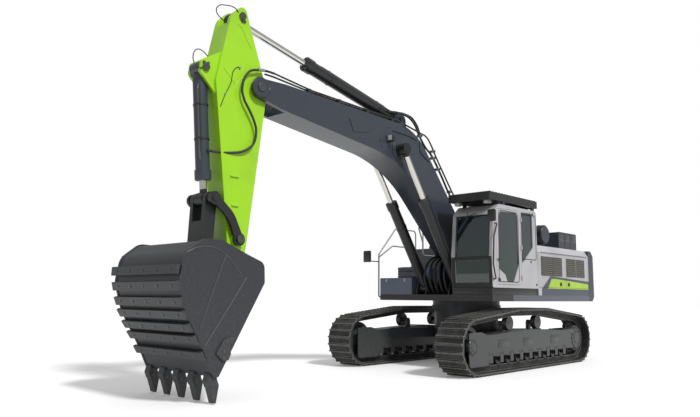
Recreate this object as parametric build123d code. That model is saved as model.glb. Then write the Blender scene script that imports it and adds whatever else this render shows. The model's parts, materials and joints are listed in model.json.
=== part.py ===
from build123d import *
from math import acos, atan2, cos, degrees, hypot, pi, radians, sin, tan
import os

# A crawler excavator of about fifty tonnes, in millimetres. The side view is drawn in swing
# coordinates: x forward from the swing axis, y to the machine's left, z up from the ground.
# Every finished solid is moved by ROW_SHIFT, so that the origin lies under the middle of the
# whole machine.

# Running gear
TRACK_GAUGE = 2740.0
WHEEL_BASE = 4382.0
SHOE_WIDTH = 600.0
SHOES_PER_TRACK = 51
SHOE_THICKNESS = 20.0
GROUSER_HEIGHT = 32.0
CHAIN_HEIGHT = 108.0
CHAIN_WIDTH = 210.0
WHEEL_GAP = 2.0
END_WHEEL_RADIUS = 378.0
IDLER_WIDTH = 170.0
CARRIER_X = 600.0
CARRIER_Z = 930.0
CARRIER_RADIUS = 146.0
ROLLER_RADIUS = 105.0
ROLLER_COUNT = 9
ROLLER_PITCH = 390.0
FRAME_INNER_Y = 1165.0
FRAME_OUTER_Y = 1560.0
FRAME_TOP_Z = 800.0
FRAME_BOTTOM_Z = 405.0
FRAME_PLATE = 25.0
SPROCKET_TEETH = 21
DRIVE_RADIUS = 280.0
CAR_BODY_BOTTOM_Z = 520.0
CAR_BODY_TOP_Z = 960.0
BEARING_RADIUS = 760.0
BEARING_BOTTOM_Z = 1180.0
RUNNING_GAP = 0.3
PIN_GAP = 0.3

# House
DECK_BOTTOM_Z = 1372.0
DECK_THICKNESS = 128.0
HALF_WIDTH = 1546.0
WELL_HALF_WIDTH = 590.0
CAB_FRONT_X = 1450.0
RIGHT_FRONT_X = 1160.0
NOSE_FRONT_X = 1180.0
HOOD_FRONT_X = -446.0
HOOD_SEAM_X = -1818.0
HOOD_REAR_X = -3055.0
HOOD_TOP_Z = 2590.0
HOOD_EAVE_Z = 2440.0
HOOD_CHAMFER_Y = 90.0
SKIRT_TOP_Z = 1650.0
PANEL = 40.0
PANEL_GAP = 6.0
TAIL_RADIUS = 3750.0
WEIGHT_BEVEL = 170.0
BEAM_INNER_Y = 322.0
BEAM_PLATE = 50.0

# Cab
CAB_INNER_Y = 600.0
CAB_REAR_X = -440.0
CAB_FLOOR_Z = 1640.0
CAB_ROOF_Z = 3310.0
CAB_WALL = 60.0
DOOR_REAR_X = 290.0
DOOR_FRONT_X = 1270.0
DOOR_THICKNESS = 46.0
GLASS = 8.0
GLASS_GAP = 1.0
GUARD_BOTTOM_Z = 3372.0
GUARD_HEIGHT = 150.0

# Boom, arm and bucket, from pin to pin in the side view
BOOM_FOOT = (250.0, 2250.0)
BOOM_LENGTH = 6524.0
BOOM_ANGLE = 22.44
BOOM_HALF_WIDTH = 290.0
BOOM_BEND_ALONG = 2803.0
BOOM_BEND_HEIGHT = 1654.0
BOOM_FORK_HALF_GAP = 212.0
BOOM_FORK_DEPTH = 640.0
ARM_LENGTH = 2911.0
ARM_ANGLE = -83.24
ARM_HALF_WIDTH = 204.0
ARM_HEAD_LENGTH = 1050.0
ARM_HEAD_OFFSET = 472.0
BUCKET_WIDTH = 1700.0
BUCKET_SIDE_PLATE = 40.0
BUCKET_WRAPPER = 32.0
BUCKET_TIP_X = 690.0
BUCKET_TIP_Z = -1834.0
TOOTH_COUNT = 5
EAR_INNER_Y = 212.0
EAR_PLATE = 62.0
EAR_SPAN = (505.0, 120.0)

# Cylinders
BOOM_CYLINDER_Y = 420.0
BOOM_CYLINDER_BASE = (930.0, 1645.0)
BOOM_CYLINDER_ALONG = 3121.0
BOOM_CYLINDER_HEIGHT = 946.0
BOOM_BARREL_RADIUS = 108.0
BOOM_BARREL_LENGTH = 2130.0
ARM_CYLINDER_ALONG = 3187.0
ARM_CYLINDER_HEIGHT = 1692.0
ARM_BARREL_RADIUS = 118.0
ARM_BARREL_LENGTH = 2560.0
BUCKET_CYLINDER_ALONG = 4.0
BUCKET_CYLINDER_OFFSET = 970.0
BUCKET_BARREL_RADIUS = 108.0
BUCKET_BARREL_LENGTH = 1700.0
ROD_RADIUS = 57.0
PIN_RADIUS = 52.0
EYE_RADIUS = 112.0
BOOM_ROD_EYE_WIDTH = 190.0
ARM_EYE_HALF_WIDTH = 122.0
BUCKET_EYE_HALF_WIDTH = 102.0
EYE_CLEARANCE = 8.0

# Bucket linkage
GUIDE_PIVOT_ALONG = 2480.0
GUIDE_PIVOT_OFFSET = 46.0
LINK_PIN = (7080.0, 2865.0)
GUIDE_INNER_Y = 252.0
GUIDE_PLATE = 50.0
LINK_EAR_INNER_Y = 118.0
LINK_EAR_PLATE = 74.0


def turned(direction, along, offset=0.0):
    """Step in the side view: a distance along a direction and an offset to its left."""
    c = cos(radians(direction))
    s = sin(radians(direction))
    return (along * c - offset * s, along * s + offset * c)


def moved(start, step):
    return (start[0] + step[0], start[1] + step[1])


BOOM_TIP = moved(BOOM_FOOT, turned(BOOM_ANGLE, BOOM_LENGTH))
ARM_TIP = moved(BOOM_TIP, turned(ARM_ANGLE, ARM_LENGTH))
ARM_HEAD = moved(BOOM_TIP, turned(ARM_ANGLE, -ARM_HEAD_LENGTH, ARM_HEAD_OFFSET))
BOOM_ROD_PIN = moved(BOOM_FOOT, turned(BOOM_ANGLE, BOOM_CYLINDER_ALONG, BOOM_CYLINDER_HEIGHT))
ARM_BASE_PIN = moved(BOOM_FOOT, turned(BOOM_ANGLE, ARM_CYLINDER_ALONG, ARM_CYLINDER_HEIGHT))
BUCKET_BASE_PIN = moved(BOOM_TIP, turned(ARM_ANGLE, BUCKET_CYLINDER_ALONG, BUCKET_CYLINDER_OFFSET))
GUIDE_PIVOT = moved(BOOM_TIP, turned(ARM_ANGLE, GUIDE_PIVOT_ALONG, GUIDE_PIVOT_OFFSET))
EAR_PIN = moved(ARM_TIP, EAR_SPAN)
BUCKET_DEPTH = 1348.0
ROW_SHIFT = Vector((TAIL_RADIUS - ARM_TIP[0] - BUCKET_DEPTH) / 2.0, 0.0, 0.0)
DECK_TOP_Z = DECK_BOTTOM_Z + DECK_THICKNESS


def boom_at(along, height):
    """Point on the boom: along the line from foot pin to tip pin, and above it."""
    return moved(BOOM_FOOT, turned(BOOM_ANGLE, along, height))


def arm_at(along, offset):
    """Point on the arm: from the boom's tip pin towards the arm's tip, and forward of that line."""
    return moved(BOOM_TIP, turned(ARM_ANGLE, along, offset))


def bucket_at(x, z):
    """Point on the bucket, from its hinge pin."""
    return moved(ARM_TIP, (x, z))


def fitting_radii(points):
    """Corner radii of a closed outline, each cut back where the straight runs beside it are short."""
    count = len(points)
    radii = [float(p[2]) if len(p) > 2 else 0.0 for p in points]
    tangents = []
    for index in range(count):
        before, here, after = points[index - 1], points[index], points[(index + 1) % count]
        turn = abs(
            atan2(after[1] - here[1], after[0] - here[0]) - atan2(here[1] - before[1], here[0] - before[0])
        )
        turn = min(turn, 2.0 * pi - turn)
        tangents.append(tan(turn / 2.0))
    for index in range(count):
        here, after = points[index], points[(index + 1) % count]
        run = hypot(after[0] - here[0], after[1] - here[1]) * 0.98
        needed = radii[index] * tangents[index] + radii[(index + 1) % count] * tangents[(index + 1) % count]
        if needed > run:
            radii[index] *= run / needed
            radii[(index + 1) % count] *= run / needed
    return radii


def outline(points, y=0.0):
    """Closed face in a side-view plane. A point is (x, z) or (x, z, corner radius)."""
    corners = [Vector(p[0], y, p[1]) for p in points]
    return Face(Wire(FilletPolyline(*corners, radius=fitting_radii(points), close=True).edges()))


def plate(points, y_from, y_to):
    """Solid between two planes across the machine, from a side-view outline."""
    return extrude(outline(points, y_from), amount=y_to - y_from, dir=(0, 1, 0))


def slab(points, z_from, z_to):
    """Solid between two levels, from a plan-view outline."""
    corners = [Vector(p[0], p[1], z_from) for p in points]
    face = Face(Wire(FilletPolyline(*corners, radius=fitting_radii(points), close=True).edges()))
    return extrude(face, amount=z_to - z_from, dir=(0, 0, 1))


def disc(centre, radius, y_from, y_to):
    """Round solid across the machine."""
    return Solid.make_cylinder(radius, y_to - y_from, Plane((centre[0], y_from, centre[1]), z_dir=(0, 1, 0)))


def block(x_from, x_to, y_from, y_to, z_from, z_to):
    size = (x_to - x_from, y_to - y_from, z_to - z_from)
    middle = ((x_from + x_to) / 2.0, (y_from + y_to) / 2.0, (z_from + z_to) / 2.0)
    return Pos(*middle) * Box(*size)


def bar(start, end, radius):
    """Round bar between two points in space."""
    run = Vector(*end) - Vector(*start)
    return Solid.make_cylinder(radius, run.length, Plane(start, z_dir=run))


def side_bar(start, end, y, radius):
    """Round bar in a side-view plane."""
    return bar((start[0], y, start[1]), (end[0], y, end[1]), radius)


def both_sides(solid):
    """The solid and its mirror image about the machine's middle plane."""
    return [solid, mirror(solid, about=Plane.XZ)]


def fused(pieces):
    body = pieces[0]
    for piece in pieces[1:]:
        body = body + piece
    return body


def pipe(points, radius, bend):
    """Bent tube, solid, along a path of straight runs and tangent arcs."""
    path = FilletPolyline(*[Vector(*p) for p in points], radius=bend)
    start = Plane(path @ 0, z_dir=path % 0)
    return sweep(start * Circle(radius), path=path)


# Running gear

WHEELS = [
    (WHEEL_BASE / 2.0, END_WHEEL_RADIUS),
    (CARRIER_X, CARRIER_RADIUS),
    (-CARRIER_X, CARRIER_RADIUS),
    (-WHEEL_BASE / 2.0, END_WHEEL_RADIUS),
]
AXLE_Z = GROUSER_HEIGHT + SHOE_THICKNESS + CHAIN_HEIGHT + END_WHEEL_RADIUS


def wheel_centres():
    levels = [AXLE_Z, CARRIER_Z, CARRIER_Z, AXLE_Z]
    return [((wheel[0], level), wheel[1]) for wheel, level in zip(WHEELS, levels)]


def belt_runs():
    """Straight runs of the chain's inner line, as (start, end, turn centre, radius)."""
    wheels = wheel_centres()
    runs = []
    for index, (centre, radius) in enumerate(wheels):
        following, next_radius = wheels[(index + 1) % len(wheels)]
        span = (following[0] - centre[0], following[1] - centre[1])
        length = hypot(*span)
        heading = atan2(span[1], span[0])
        normal = heading - acos((radius - next_radius) / length)
        start = (centre[0] + radius * cos(normal), centre[1] + radius * sin(normal))
        end = (following[0] + next_radius * cos(normal), following[1] + next_radius * sin(normal))
        runs.append((start, end, normal, following, next_radius))
    return runs


def belt_length():
    runs = belt_runs()
    total = 0.0
    for index, (start, end, normal, centre, radius) in enumerate(runs):
        following = runs[(index + 1) % len(runs)][2]
        total += hypot(end[0] - start[0], end[1] - start[1])
        total += radius * ((following - normal) % (2.0 * pi))
    return total


def belt_point(distance, height):
    """Point a height outside the chain's inner line, a distance along it."""
    runs = belt_runs()
    for index, (start, end, normal, centre, radius) in enumerate(runs):
        straight = hypot(end[0] - start[0], end[1] - start[1])
        following = runs[(index + 1) % len(runs)][2]
        arc = radius * ((following - normal) % (2.0 * pi))
        if distance <= straight:
            share = distance / straight
            x = start[0] + share * (end[0] - start[0])
            z = start[1] + share * (end[1] - start[1])
            return (x + height * cos(normal), z + height * sin(normal))
        distance -= straight
        if distance <= arc or index == len(runs) - 1:
            angle = normal + distance / radius
            reach = radius + height
            return (centre[0] + reach * cos(angle), centre[1] + reach * sin(angle))
        distance -= arc


def belt_outline(pattern):
    """Closed side-view outline round the belt, one copy of the pattern for each shoe."""
    pitch = belt_length() / SHOES_PER_TRACK
    points = []
    for shoe in range(SHOES_PER_TRACK):
        for share, height in pattern:
            points.append(belt_point((shoe + share) * pitch, height))
    return points


def straight_face(points, y):
    corners = [Vector(p[0], y, p[1]) for p in points]
    return Face(Wire(Polyline(*corners, close=True).edges()))


def track_loop():
    """Left track: shoes with two grousers each outside, the chain inside, as one ring."""
    plate_bottom = CHAIN_HEIGHT
    plate_top = plate_bottom + SHOE_THICKNESS
    tip = plate_top + GROUSER_HEIGHT
    shoe = [
        (0.03, plate_top), (0.10, plate_top), (0.13, tip), (0.20, tip), (0.24, plate_top),
        (0.60, plate_top), (0.64, tip), (0.71, tip), (0.75, plate_top), (0.97, plate_top),
    ]
    y_middle = TRACK_GAUGE / 2.0
    y_shoe = y_middle - SHOE_WIDTH / 2.0
    y_chain = y_middle - CHAIN_WIDTH / 2.0
    outer = straight_face(belt_outline(shoe), y_shoe)
    inner = straight_face(belt_outline([(0.0, plate_bottom)]), y_shoe)
    shoes = extrude(outer - inner, amount=SHOE_WIDTH, dir=(0, 1, 0))
    chain_outer = straight_face(belt_outline([(0.0, plate_bottom)]), y_chain)
    chain_inner = straight_face(belt_outline([(0.0, 0.0), (0.25, 0.0), (0.5, 0.0), (0.75, 0.0)]), y_chain)
    chain = extrude(chain_outer - chain_inner, amount=CHAIN_WIDTH, dir=(0, 1, 0))
    return shoes + chain


def frame_side(y_from, y_to):
    """One side plate of a track frame, with the guard that holds the idler's axle."""
    nose = WHEEL_BASE / 2.0 + 130.0
    tail = -WHEEL_BASE / 2.0
    points = [
        (tail - 180.0, AXLE_Z - 215.0, 60.0),
        (tail + 330.0, AXLE_Z - 215.0, 60.0),
        (tail + 470.0, 335.0, 60.0),
        (nose - 720.0, 335.0, 40.0),
        (nose - 660.0, 170.0, 40.0),
        (nose, 170.0, 60.0),
        (nose, AXLE_Z + 260.0, 60.0),
        (nose - 420.0, AXLE_Z + 260.0, 60.0),
        (nose - 640.0, FRAME_TOP_Z - 60.0, 60.0),
        (tail + 560.0, FRAME_TOP_Z - 60.0, 80.0),
        (tail + 330.0, AXLE_Z + 215.0, 60.0),
        (tail - 180.0, AXLE_Z + 215.0, 60.0),
    ]
    return plate(points, y_from, y_to)


def track_frame():
    """Left track frame: two side plates, a beam between them and the drive motor's housing."""
    nose = WHEEL_BASE / 2.0
    inner = frame_side(FRAME_INNER_Y, FRAME_INNER_Y + FRAME_PLATE)
    outer = frame_side(FRAME_OUTER_Y - FRAME_PLATE, FRAME_OUTER_Y)
    beam = plate(
        [
            (-nose + 470.0, FRAME_BOTTOM_Z), (nose - 470.0, FRAME_BOTTOM_Z),
            (nose - 470.0, FRAME_TOP_Z - 70.0), (0.0, FRAME_TOP_Z), (-nose + 470.0, FRAME_TOP_Z - 70.0),
        ],
        FRAME_INNER_Y, FRAME_OUTER_Y,
    )
    idler_axle = disc((nose, AXLE_Z), 60.0, FRAME_INNER_Y, FRAME_OUTER_Y)
    motor = disc((-nose, AXLE_Z), 190.0, FRAME_INNER_Y - 260.0, TRACK_GAUGE / 2.0 - 60.0)
    body = fused([inner, outer, beam, idler_axle, motor])
    for x in (-CARRIER_X, CARRIER_X):
        post = block(x - 60.0, x + 60.0, FRAME_INNER_Y, FRAME_INNER_Y + 60.0, FRAME_TOP_Z - 80.0, CARRIER_Z)
        axle = disc((x, CARRIER_Z), 45.0, FRAME_INNER_Y, TRACK_GAUGE / 2.0 + 60.0)
        body = body + post + axle
    for index in range(ROLLER_COUNT):
        x = (index - (ROLLER_COUNT - 1) / 2.0) * ROLLER_PITCH
        z = roller_z()
        body = body + disc((x, z), 36.0, FRAME_INNER_Y + 5.0, FRAME_OUTER_Y - 5.0)
        for y in (FRAME_INNER_Y, FRAME_OUTER_Y - FRAME_PLATE):
            body = body + block(x - 60.0, x + 60.0, y, y + FRAME_PLATE, z - 60.0, z + 160.0)
    return body


def roller_z():
    return GROUSER_HEIGHT + SHOE_THICKNESS + CHAIN_HEIGHT + ROLLER_RADIUS + WHEEL_GAP


def wheel_on(axle, centre, radius, width, flange=0.0):
    """Wheel with a bore that runs on an axle of the track frame."""
    middle = TRACK_GAUGE / 2.0
    body = disc(centre, radius, middle - width / 2.0, middle + width / 2.0)
    if flange:
        body = body + disc(centre, radius + flange, middle - CHAIN_WIDTH * 0.22, middle + CHAIN_WIDTH * 0.22)
    return body - disc(centre, axle + PIN_GAP, middle - width, middle + width)


def rollers():
    """Left side's bottom rollers and carrier rollers."""
    solids = []
    for index in range(ROLLER_COUNT):
        x = (index - (ROLLER_COUNT - 1) / 2.0) * ROLLER_PITCH
        solids.append(wheel_on(36.0, (x, roller_z()), ROLLER_RADIUS, CHAIN_WIDTH))
    for x in (-CARRIER_X, CARRIER_X):
        solids.append(wheel_on(45.0, (x, CARRIER_Z), CARRIER_RADIUS - WHEEL_GAP, 110.0))
    return solids


def idler():
    centre = (WHEEL_BASE / 2.0, AXLE_Z)
    wheel = wheel_on(60.0, centre, END_WHEEL_RADIUS - WHEEL_GAP, IDLER_WIDTH)
    middle = TRACK_GAUGE / 2.0
    for side in (-1.0, 1.0):
        face = middle + side * IDLER_WIDTH / 2.0
        low, high = sorted((face, face - side * 45.0))
        recess = disc(centre, END_WHEEL_RADIUS * 0.78, low, high) - disc(centre, 110.0, low, high)
        wheel = wheel - recess
    return wheel


def sprocket():
    """Toothed drive wheel with the round final drive cover outside it."""
    centre = (-WHEEL_BASE / 2.0, AXLE_Z)
    root = END_WHEEL_RADIUS - 55.0
    tip = END_WHEEL_RADIUS - WHEEL_GAP
    points = []
    for tooth in range(SPROCKET_TEETH):
        for share, radius in ((-0.30, root), (-0.14, tip), (0.14, tip), (0.30, root)):
            angle = 2.0 * pi * (tooth + share) / SPROCKET_TEETH
            points.append((centre[0] + radius * cos(angle), centre[1] + radius * sin(angle)))
    middle = TRACK_GAUGE / 2.0
    ring = extrude(straight_face(points, middle - 32.0), amount=64.0, dir=(0, 1, 0))
    hub = disc(centre, DRIVE_RADIUS, middle - 60.0 + RUNNING_GAP, FRAME_OUTER_Y - FRAME_PLATE - 6.0)
    return ring + hub


def car_body():
    """Centre of the undercarriage: a drum on four legs that end at the track frames."""
    drum = Pos(0, 0, (CAR_BODY_BOTTOM_Z + BEARING_BOTTOM_Z) / 2.0) * Cylinder(
        BEARING_RADIUS - 60.0, BEARING_BOTTOM_Z - CAR_BODY_BOTTOM_Z)
    body = drum
    for side in (-1.0, 1.0):
        leg = slab(
            [
                (-side * 260.0, -560.0), (side * 260.0, -560.0),
                (1250.0 * side, -FRAME_INNER_Y), (side * 620.0, -FRAME_INNER_Y), (0.0, -760.0),
            ],
            CAR_BODY_BOTTOM_Z + 40.0, CAR_BODY_TOP_Z - 190.0,
        )
        body = body + leg + mirror(leg, about=Plane.XZ)
    return body


def swing_bearing_lower():
    height = (DECK_BOTTOM_Z - BEARING_BOTTOM_Z) / 2.0
    return Pos(0, 0, BEARING_BOTTOM_Z + height / 2.0) * Cylinder(BEARING_RADIUS, height)


def swing_bearing_upper():
    height = (DECK_BOTTOM_Z - BEARING_BOTTOM_Z) / 2.0 - RUNNING_GAP
    return Pos(0, 0, DECK_BOTTOM_Z - height / 2.0) * Cylinder(BEARING_RADIUS - 20.0, height)


# House

def revolving_frame():
    """Deck, the two upright beams that hold the boom's foot, and the boom cylinders' brackets."""
    deck = slab(
        [
            (HOOD_REAR_X, -HALF_WIDTH), (RIGHT_FRONT_X, -HALF_WIDTH), (RIGHT_FRONT_X, -WELL_HALF_WIDTH),
            (NOSE_FRONT_X, -WELL_HALF_WIDTH), (NOSE_FRONT_X, WELL_HALF_WIDTH),
            (CAB_FRONT_X, WELL_HALF_WIDTH), (CAB_FRONT_X, HALF_WIDTH), (HOOD_REAR_X, HALF_WIDTH),
        ],
        DECK_BOTTOM_Z, DECK_TOP_Z,
    )
    beam_outline = [
        (BOOM_FOOT[0] - 240.0, BOOM_FOOT[1] + 240.0, 220.0), (BOOM_FOOT[0] + 240.0, BOOM_FOOT[1] + 240.0, 220.0),
        (BOOM_FOOT[0] + 420.0, DECK_TOP_Z - 20.0), (HOOD_FRONT_X + 20.0, DECK_TOP_Z - 20.0),
    ]
    beam = plate(beam_outline, BEAM_INNER_Y, BEAM_INNER_Y + BEAM_PLATE)
    parts = [deck] + both_sides(beam)
    eye_half = BOOM_ROD_EYE_WIDTH / 2.0 + 15.0
    x, z = BOOM_CYLINDER_BASE
    for y_from in (BOOM_CYLINDER_Y - eye_half - 28.0, BOOM_CYLINDER_Y + eye_half):
        cheek = plate(
            [
                (x - 200.0, DECK_TOP_Z - 20.0), (x + 200.0, DECK_TOP_Z - 20.0),
                (x + 120.0, z + 120.0, 110.0), (x - 120.0, z + 120.0, 110.0),
            ],
            y_from, y_from + 28.0,
        )
        parts += both_sides(cheek)
    pin = disc(BOOM_CYLINDER_BASE, PIN_RADIUS, BOOM_CYLINDER_Y - eye_half - 10.0, BOOM_CYLINDER_Y + eye_half + 40.0)
    parts += both_sides(pin)
    foot_pin = disc(BOOM_FOOT, 70.0, -BEAM_INNER_Y - BEAM_PLATE - 30.0, BEAM_INNER_Y + BEAM_PLATE + 30.0)
    return fused(parts + [foot_pin])


def counterweight():
    """Round tail with bevelled rims, cut to the machine's width."""
    plan = block(-TAIL_RADIUS, HOOD_REAR_X, -HALF_WIDTH, HALF_WIDTH, DECK_BOTTOM_Z, HOOD_TOP_Z)
    plan = plan & (Pos(0, 0, HOOD_TOP_Z / 2.0) * Cylinder(TAIL_RADIUS - 1.0, HOOD_TOP_Z * 2.0))
    corners = [edge for edge in plan.edges().filter_by(Axis.Z) if edge.center().X < HOOD_REAR_X - 100.0]
    plan = fillet(corners, 160.0)
    rim = [
        (0.0, DECK_BOTTOM_Z), (TAIL_RADIUS - WEIGHT_BEVEL, DECK_BOTTOM_Z), (TAIL_RADIUS, DECK_BOTTOM_Z + WEIGHT_BEVEL),
        (TAIL_RADIUS - 20.0, HOOD_TOP_Z - WEIGHT_BEVEL), (TAIL_RADIUS - WEIGHT_BEVEL - 20.0, HOOD_TOP_Z), (0.0, HOOD_TOP_Z),
    ]
    face = Face(Wire(Polyline(*[Vector(r, 0.0, z) for r, z in rim], close=True).edges()))
    return plan & revolve(face, Axis.Z)


def hood_section(y_low, y_high, x_from, x_to, inset=0.0):
    """Hood block with sloping eaves where it reaches the machine's sides."""
    left = y_high >= HALF_WIDTH
    right = y_low <= -HALF_WIDTH
    low = y_low + inset
    high = y_high - inset
    top = HOOD_TOP_Z - inset
    eave = HOOD_EAVE_Z - inset * 0.4
    points = [(low, DECK_TOP_Z), (high, DECK_TOP_Z)]
    if left:
        points += [(high, eave), (high - HOOD_CHAMFER_Y, top)]
    else:
        points += [(high, top)]
    if right:
        points += [(low + HOOD_CHAMFER_Y, top), (low, eave)]
    else:
        points += [(low, top)]
    corners = [Vector(x_from, y, z) for y, z in points]
    face = Face(Wire(Polyline(*corners, close=True).edges()))
    return extrude(face, amount=x_to - x_from - 2.0 * 0.0, dir=(1, 0, 0))


DOOR_Z = (SKIRT_TOP_Z + 20.0, HOOD_EAVE_Z - 20.0)
FRONT_DOOR_X = (HOOD_SEAM_X + 12.0, HOOD_FRONT_X - 40.0)
REAR_DOOR_X = (HOOD_REAR_X + 60.0, HOOD_SEAM_X - 12.0)


def engine_hood():
    """Hollow hood over the cooling bay and the engine bay, open below, with three door openings."""
    engine = hood_section(-HALF_WIDTH, HALF_WIDTH, HOOD_REAR_X, HOOD_SEAM_X)
    cooling = hood_section(WELL_HALF_WIDTH, HALF_WIDTH, HOOD_SEAM_X, HOOD_FRONT_X)
    engine_room = hood_section(-HALF_WIDTH, HALF_WIDTH, HOOD_REAR_X + PANEL, HOOD_SEAM_X - PANEL, PANEL)
    cooling_room = hood_section(WELL_HALF_WIDTH, HALF_WIDTH, HOOD_SEAM_X + PANEL, HOOD_FRONT_X - PANEL, PANEL)
    body = engine + cooling - engine_room - cooling_room
    for x_from, x_to in (FRONT_DOOR_X, REAR_DOOR_X):
        body = body - block(x_from, x_to, HALF_WIDTH - PANEL - 20.0, HALF_WIDTH + 20.0, DOOR_Z[0], DOOR_Z[1])
    body = body - block(REAR_DOOR_X[0], REAR_DOOR_X[1], -HALF_WIDTH - 20.0, -HALF_WIDTH + PANEL + 20.0, DOOR_Z[0], DOOR_Z[1])
    return body


def service_door(x_from, x_to, side):
    """Flat side door in its opening, with a shadow gap all round."""
    y = sorted((side * (HALF_WIDTH - PANEL), side * HALF_WIDTH))
    return block(x_from + PANEL_GAP, x_to - PANEL_GAP, y[0], y[1], DOOR_Z[0] + PANEL_GAP, DOOR_Z[1] - PANEL_GAP)


def engine_block():
    return block(HOOD_REAR_X + 260.0, HOOD_SEAM_X - 260.0, -900.0, 900.0, DECK_TOP_Z, DECK_TOP_Z + 780.0)


def cooler_pack():
    return block(HOOD_SEAM_X + 300.0, HOOD_FRONT_X - 500.0, WELL_HALF_WIDTH + 120.0, HALF_WIDTH - 200.0, DECK_TOP_Z, DECK_TOP_Z + 850.0)


def valve_cover():
    return block(HOOD_SEAM_X, HOOD_FRONT_X, -WELL_HALF_WIDTH + 20.0, WELL_HALF_WIDTH - 20.0, DECK_TOP_Z, 2150.0)


TANK_INNER_Y = -800.0
TANK_FRONT_X = 0.0
TANK_SPLIT_X = -1000.0


def fuel_tank():
    return block(TANK_SPLIT_X + 10.0, TANK_FRONT_X, -HALF_WIDTH, TANK_INNER_Y, DECK_TOP_Z, HOOD_TOP_Z)


def hydraulic_tank():
    return block(HOOD_SEAM_X + 10.0, TANK_SPLIT_X - 10.0, -HALF_WIDTH, TANK_INNER_Y, DECK_TOP_Z, HOOD_TOP_Z)


def step_box():
    return block(10.0, 600.0, -1474.0, -949.0, DECK_TOP_Z, 2129.0)


def tool_box():
    """Open-topped box at the right front corner."""
    body = block(610.0, RIGHT_FRONT_X, -HALF_WIDTH, -640.0, DECK_TOP_Z, 1830.0)
    return body - block(610.0 + 30.0, RIGHT_FRONT_X - 30.0, -HALF_WIDTH + 30.0, -670.0, DECK_TOP_Z + 30.0, 1900.0)


def tool_box_lid():
    return block(610.0, RIGHT_FRONT_X, -HALF_WIDTH, -640.0, 1831.0, 1866.0)


def air_cleaner():
    centre = (-1300.0, 2885.0)
    body = disc(centre, 220.0, 700.0, 1300.0)
    foot = block(centre[0] - 60.0, centre[0] + 60.0, 850.0, 1150.0, HOOD_TOP_Z, centre[1] - 150.0)
    return body + foot


def exhaust_box():
    return block(-2950.0, -2010.0, 720.0, 1300.0, HOOD_TOP_Z, 3000.0)


# Cab

CAB_OUTLINE = [
    (CAB_REAR_X, CAB_FLOOR_Z, 20.0), (CAB_FRONT_X - 20.0, CAB_FLOOR_Z, 40.0), (CAB_FRONT_X, 2250.0, 400.0),
    (CAB_FRONT_X - 90.0, 3130.0, 160.0), (CAB_FRONT_X - 300.0, CAB_ROOF_Z, 120.0), (CAB_REAR_X + 20.0, CAB_ROOF_Z, 90.0),
]
DOOR_OUTLINE = [
    (DOOR_REAR_X, CAB_FLOOR_Z + 70.0, 30.0), (DOOR_FRONT_X, CAB_FLOOR_Z + 70.0, 30.0),
    (DOOR_FRONT_X - 20.0, CAB_ROOF_Z - 100.0, 110.0), (DOOR_REAR_X, CAB_ROOF_Z - 70.0, 90.0),
]
DOOR_WINDOW = [
    (590.0, 1765.0, 50.0), (870.0, 1765.0, 60.0), (940.0, 1900.0, 60.0), (1180.0, 2010.0, 60.0),
    (1150.0, 3165.0, 110.0), (400.0, 3185.0, 110.0), (385.0, 2100.0, 200.0),
]
REAR_SIDE_WINDOW = [
    (250.0, 2130.0, 30.0), (250.0, 3225.0, 30.0), (-230.0, 3240.0, 60.0), (-245.0, 2500.0, 60.0),
]
RIGHT_WINDOW = [
    (-250.0, 2150.0, 60.0), (1330.0, 2050.0, 60.0), (1280.0, 3150.0, 90.0), (-250.0, 3210.0, 60.0),
]
WINDSCREEN_Y = (700.0, 1470.0)
WINDSCREEN_Z = (2250.0, 3080.0)
LOWER_SCREEN_Z = (1740.0, 2180.0)


def grown(points, amount, y):
    return offset(outline(points, y), amount=amount)


def cab_space():
    """Inside of the cab."""
    face = offset(outline(CAB_OUTLINE, CAB_INNER_Y + CAB_WALL), amount=-CAB_WALL)
    return extrude(face, amount=HALF_WIDTH - CAB_INNER_Y - 2.0 * CAB_WALL, dir=(0, 1, 0))


def windscreen_cut(z_range):
    return block(CAB_FRONT_X - 300.0, CAB_FRONT_X + 50.0, WINDSCREEN_Y[0], WINDSCREEN_Y[1], z_range[0], z_range[1])


def rear_window_cut():
    return block(CAB_REAR_X - 50.0, CAB_REAR_X + 150.0, 720.0, 1430.0, 2400.0, 3150.0)


def cab_shell():
    """Cab without its door: pillars, roof, floor and walls with their windows cut."""
    body = plate(CAB_OUTLINE, CAB_INNER_Y, HALF_WIDTH) - cab_space()
    body = body - plate(RIGHT_WINDOW, CAB_INNER_Y - 20.0, CAB_INNER_Y + CAB_WALL + 20.0)
    body = body - plate(REAR_SIDE_WINDOW, HALF_WIDTH - CAB_WALL - 20.0, HALF_WIDTH + 20.0)
    door_hole = extrude(grown(DOOR_OUTLINE, PANEL_GAP, HALF_WIDTH - CAB_WALL - 20.0), amount=CAB_WALL + 40.0, dir=(0, 1, 0))
    body = body - door_hole - rear_window_cut()
    return body - windscreen_cut(WINDSCREEN_Z) - windscreen_cut(LOWER_SCREEN_Z)


def cab_door():
    y = HALF_WIDTH - DOOR_THICKNESS
    body = plate(DOOR_OUTLINE, y, HALF_WIDTH)
    return body - plate(DOOR_WINDOW, y - 20.0, HALF_WIDTH + 20.0)


def pane(points, y):
    face = grown(points, -GLASS_GAP, y)
    return extrude(face, amount=GLASS, dir=(0, 1, 0))


def door_glass():
    return pane(DOOR_WINDOW, HALF_WIDTH - DOOR_THICKNESS / 2.0)


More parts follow.
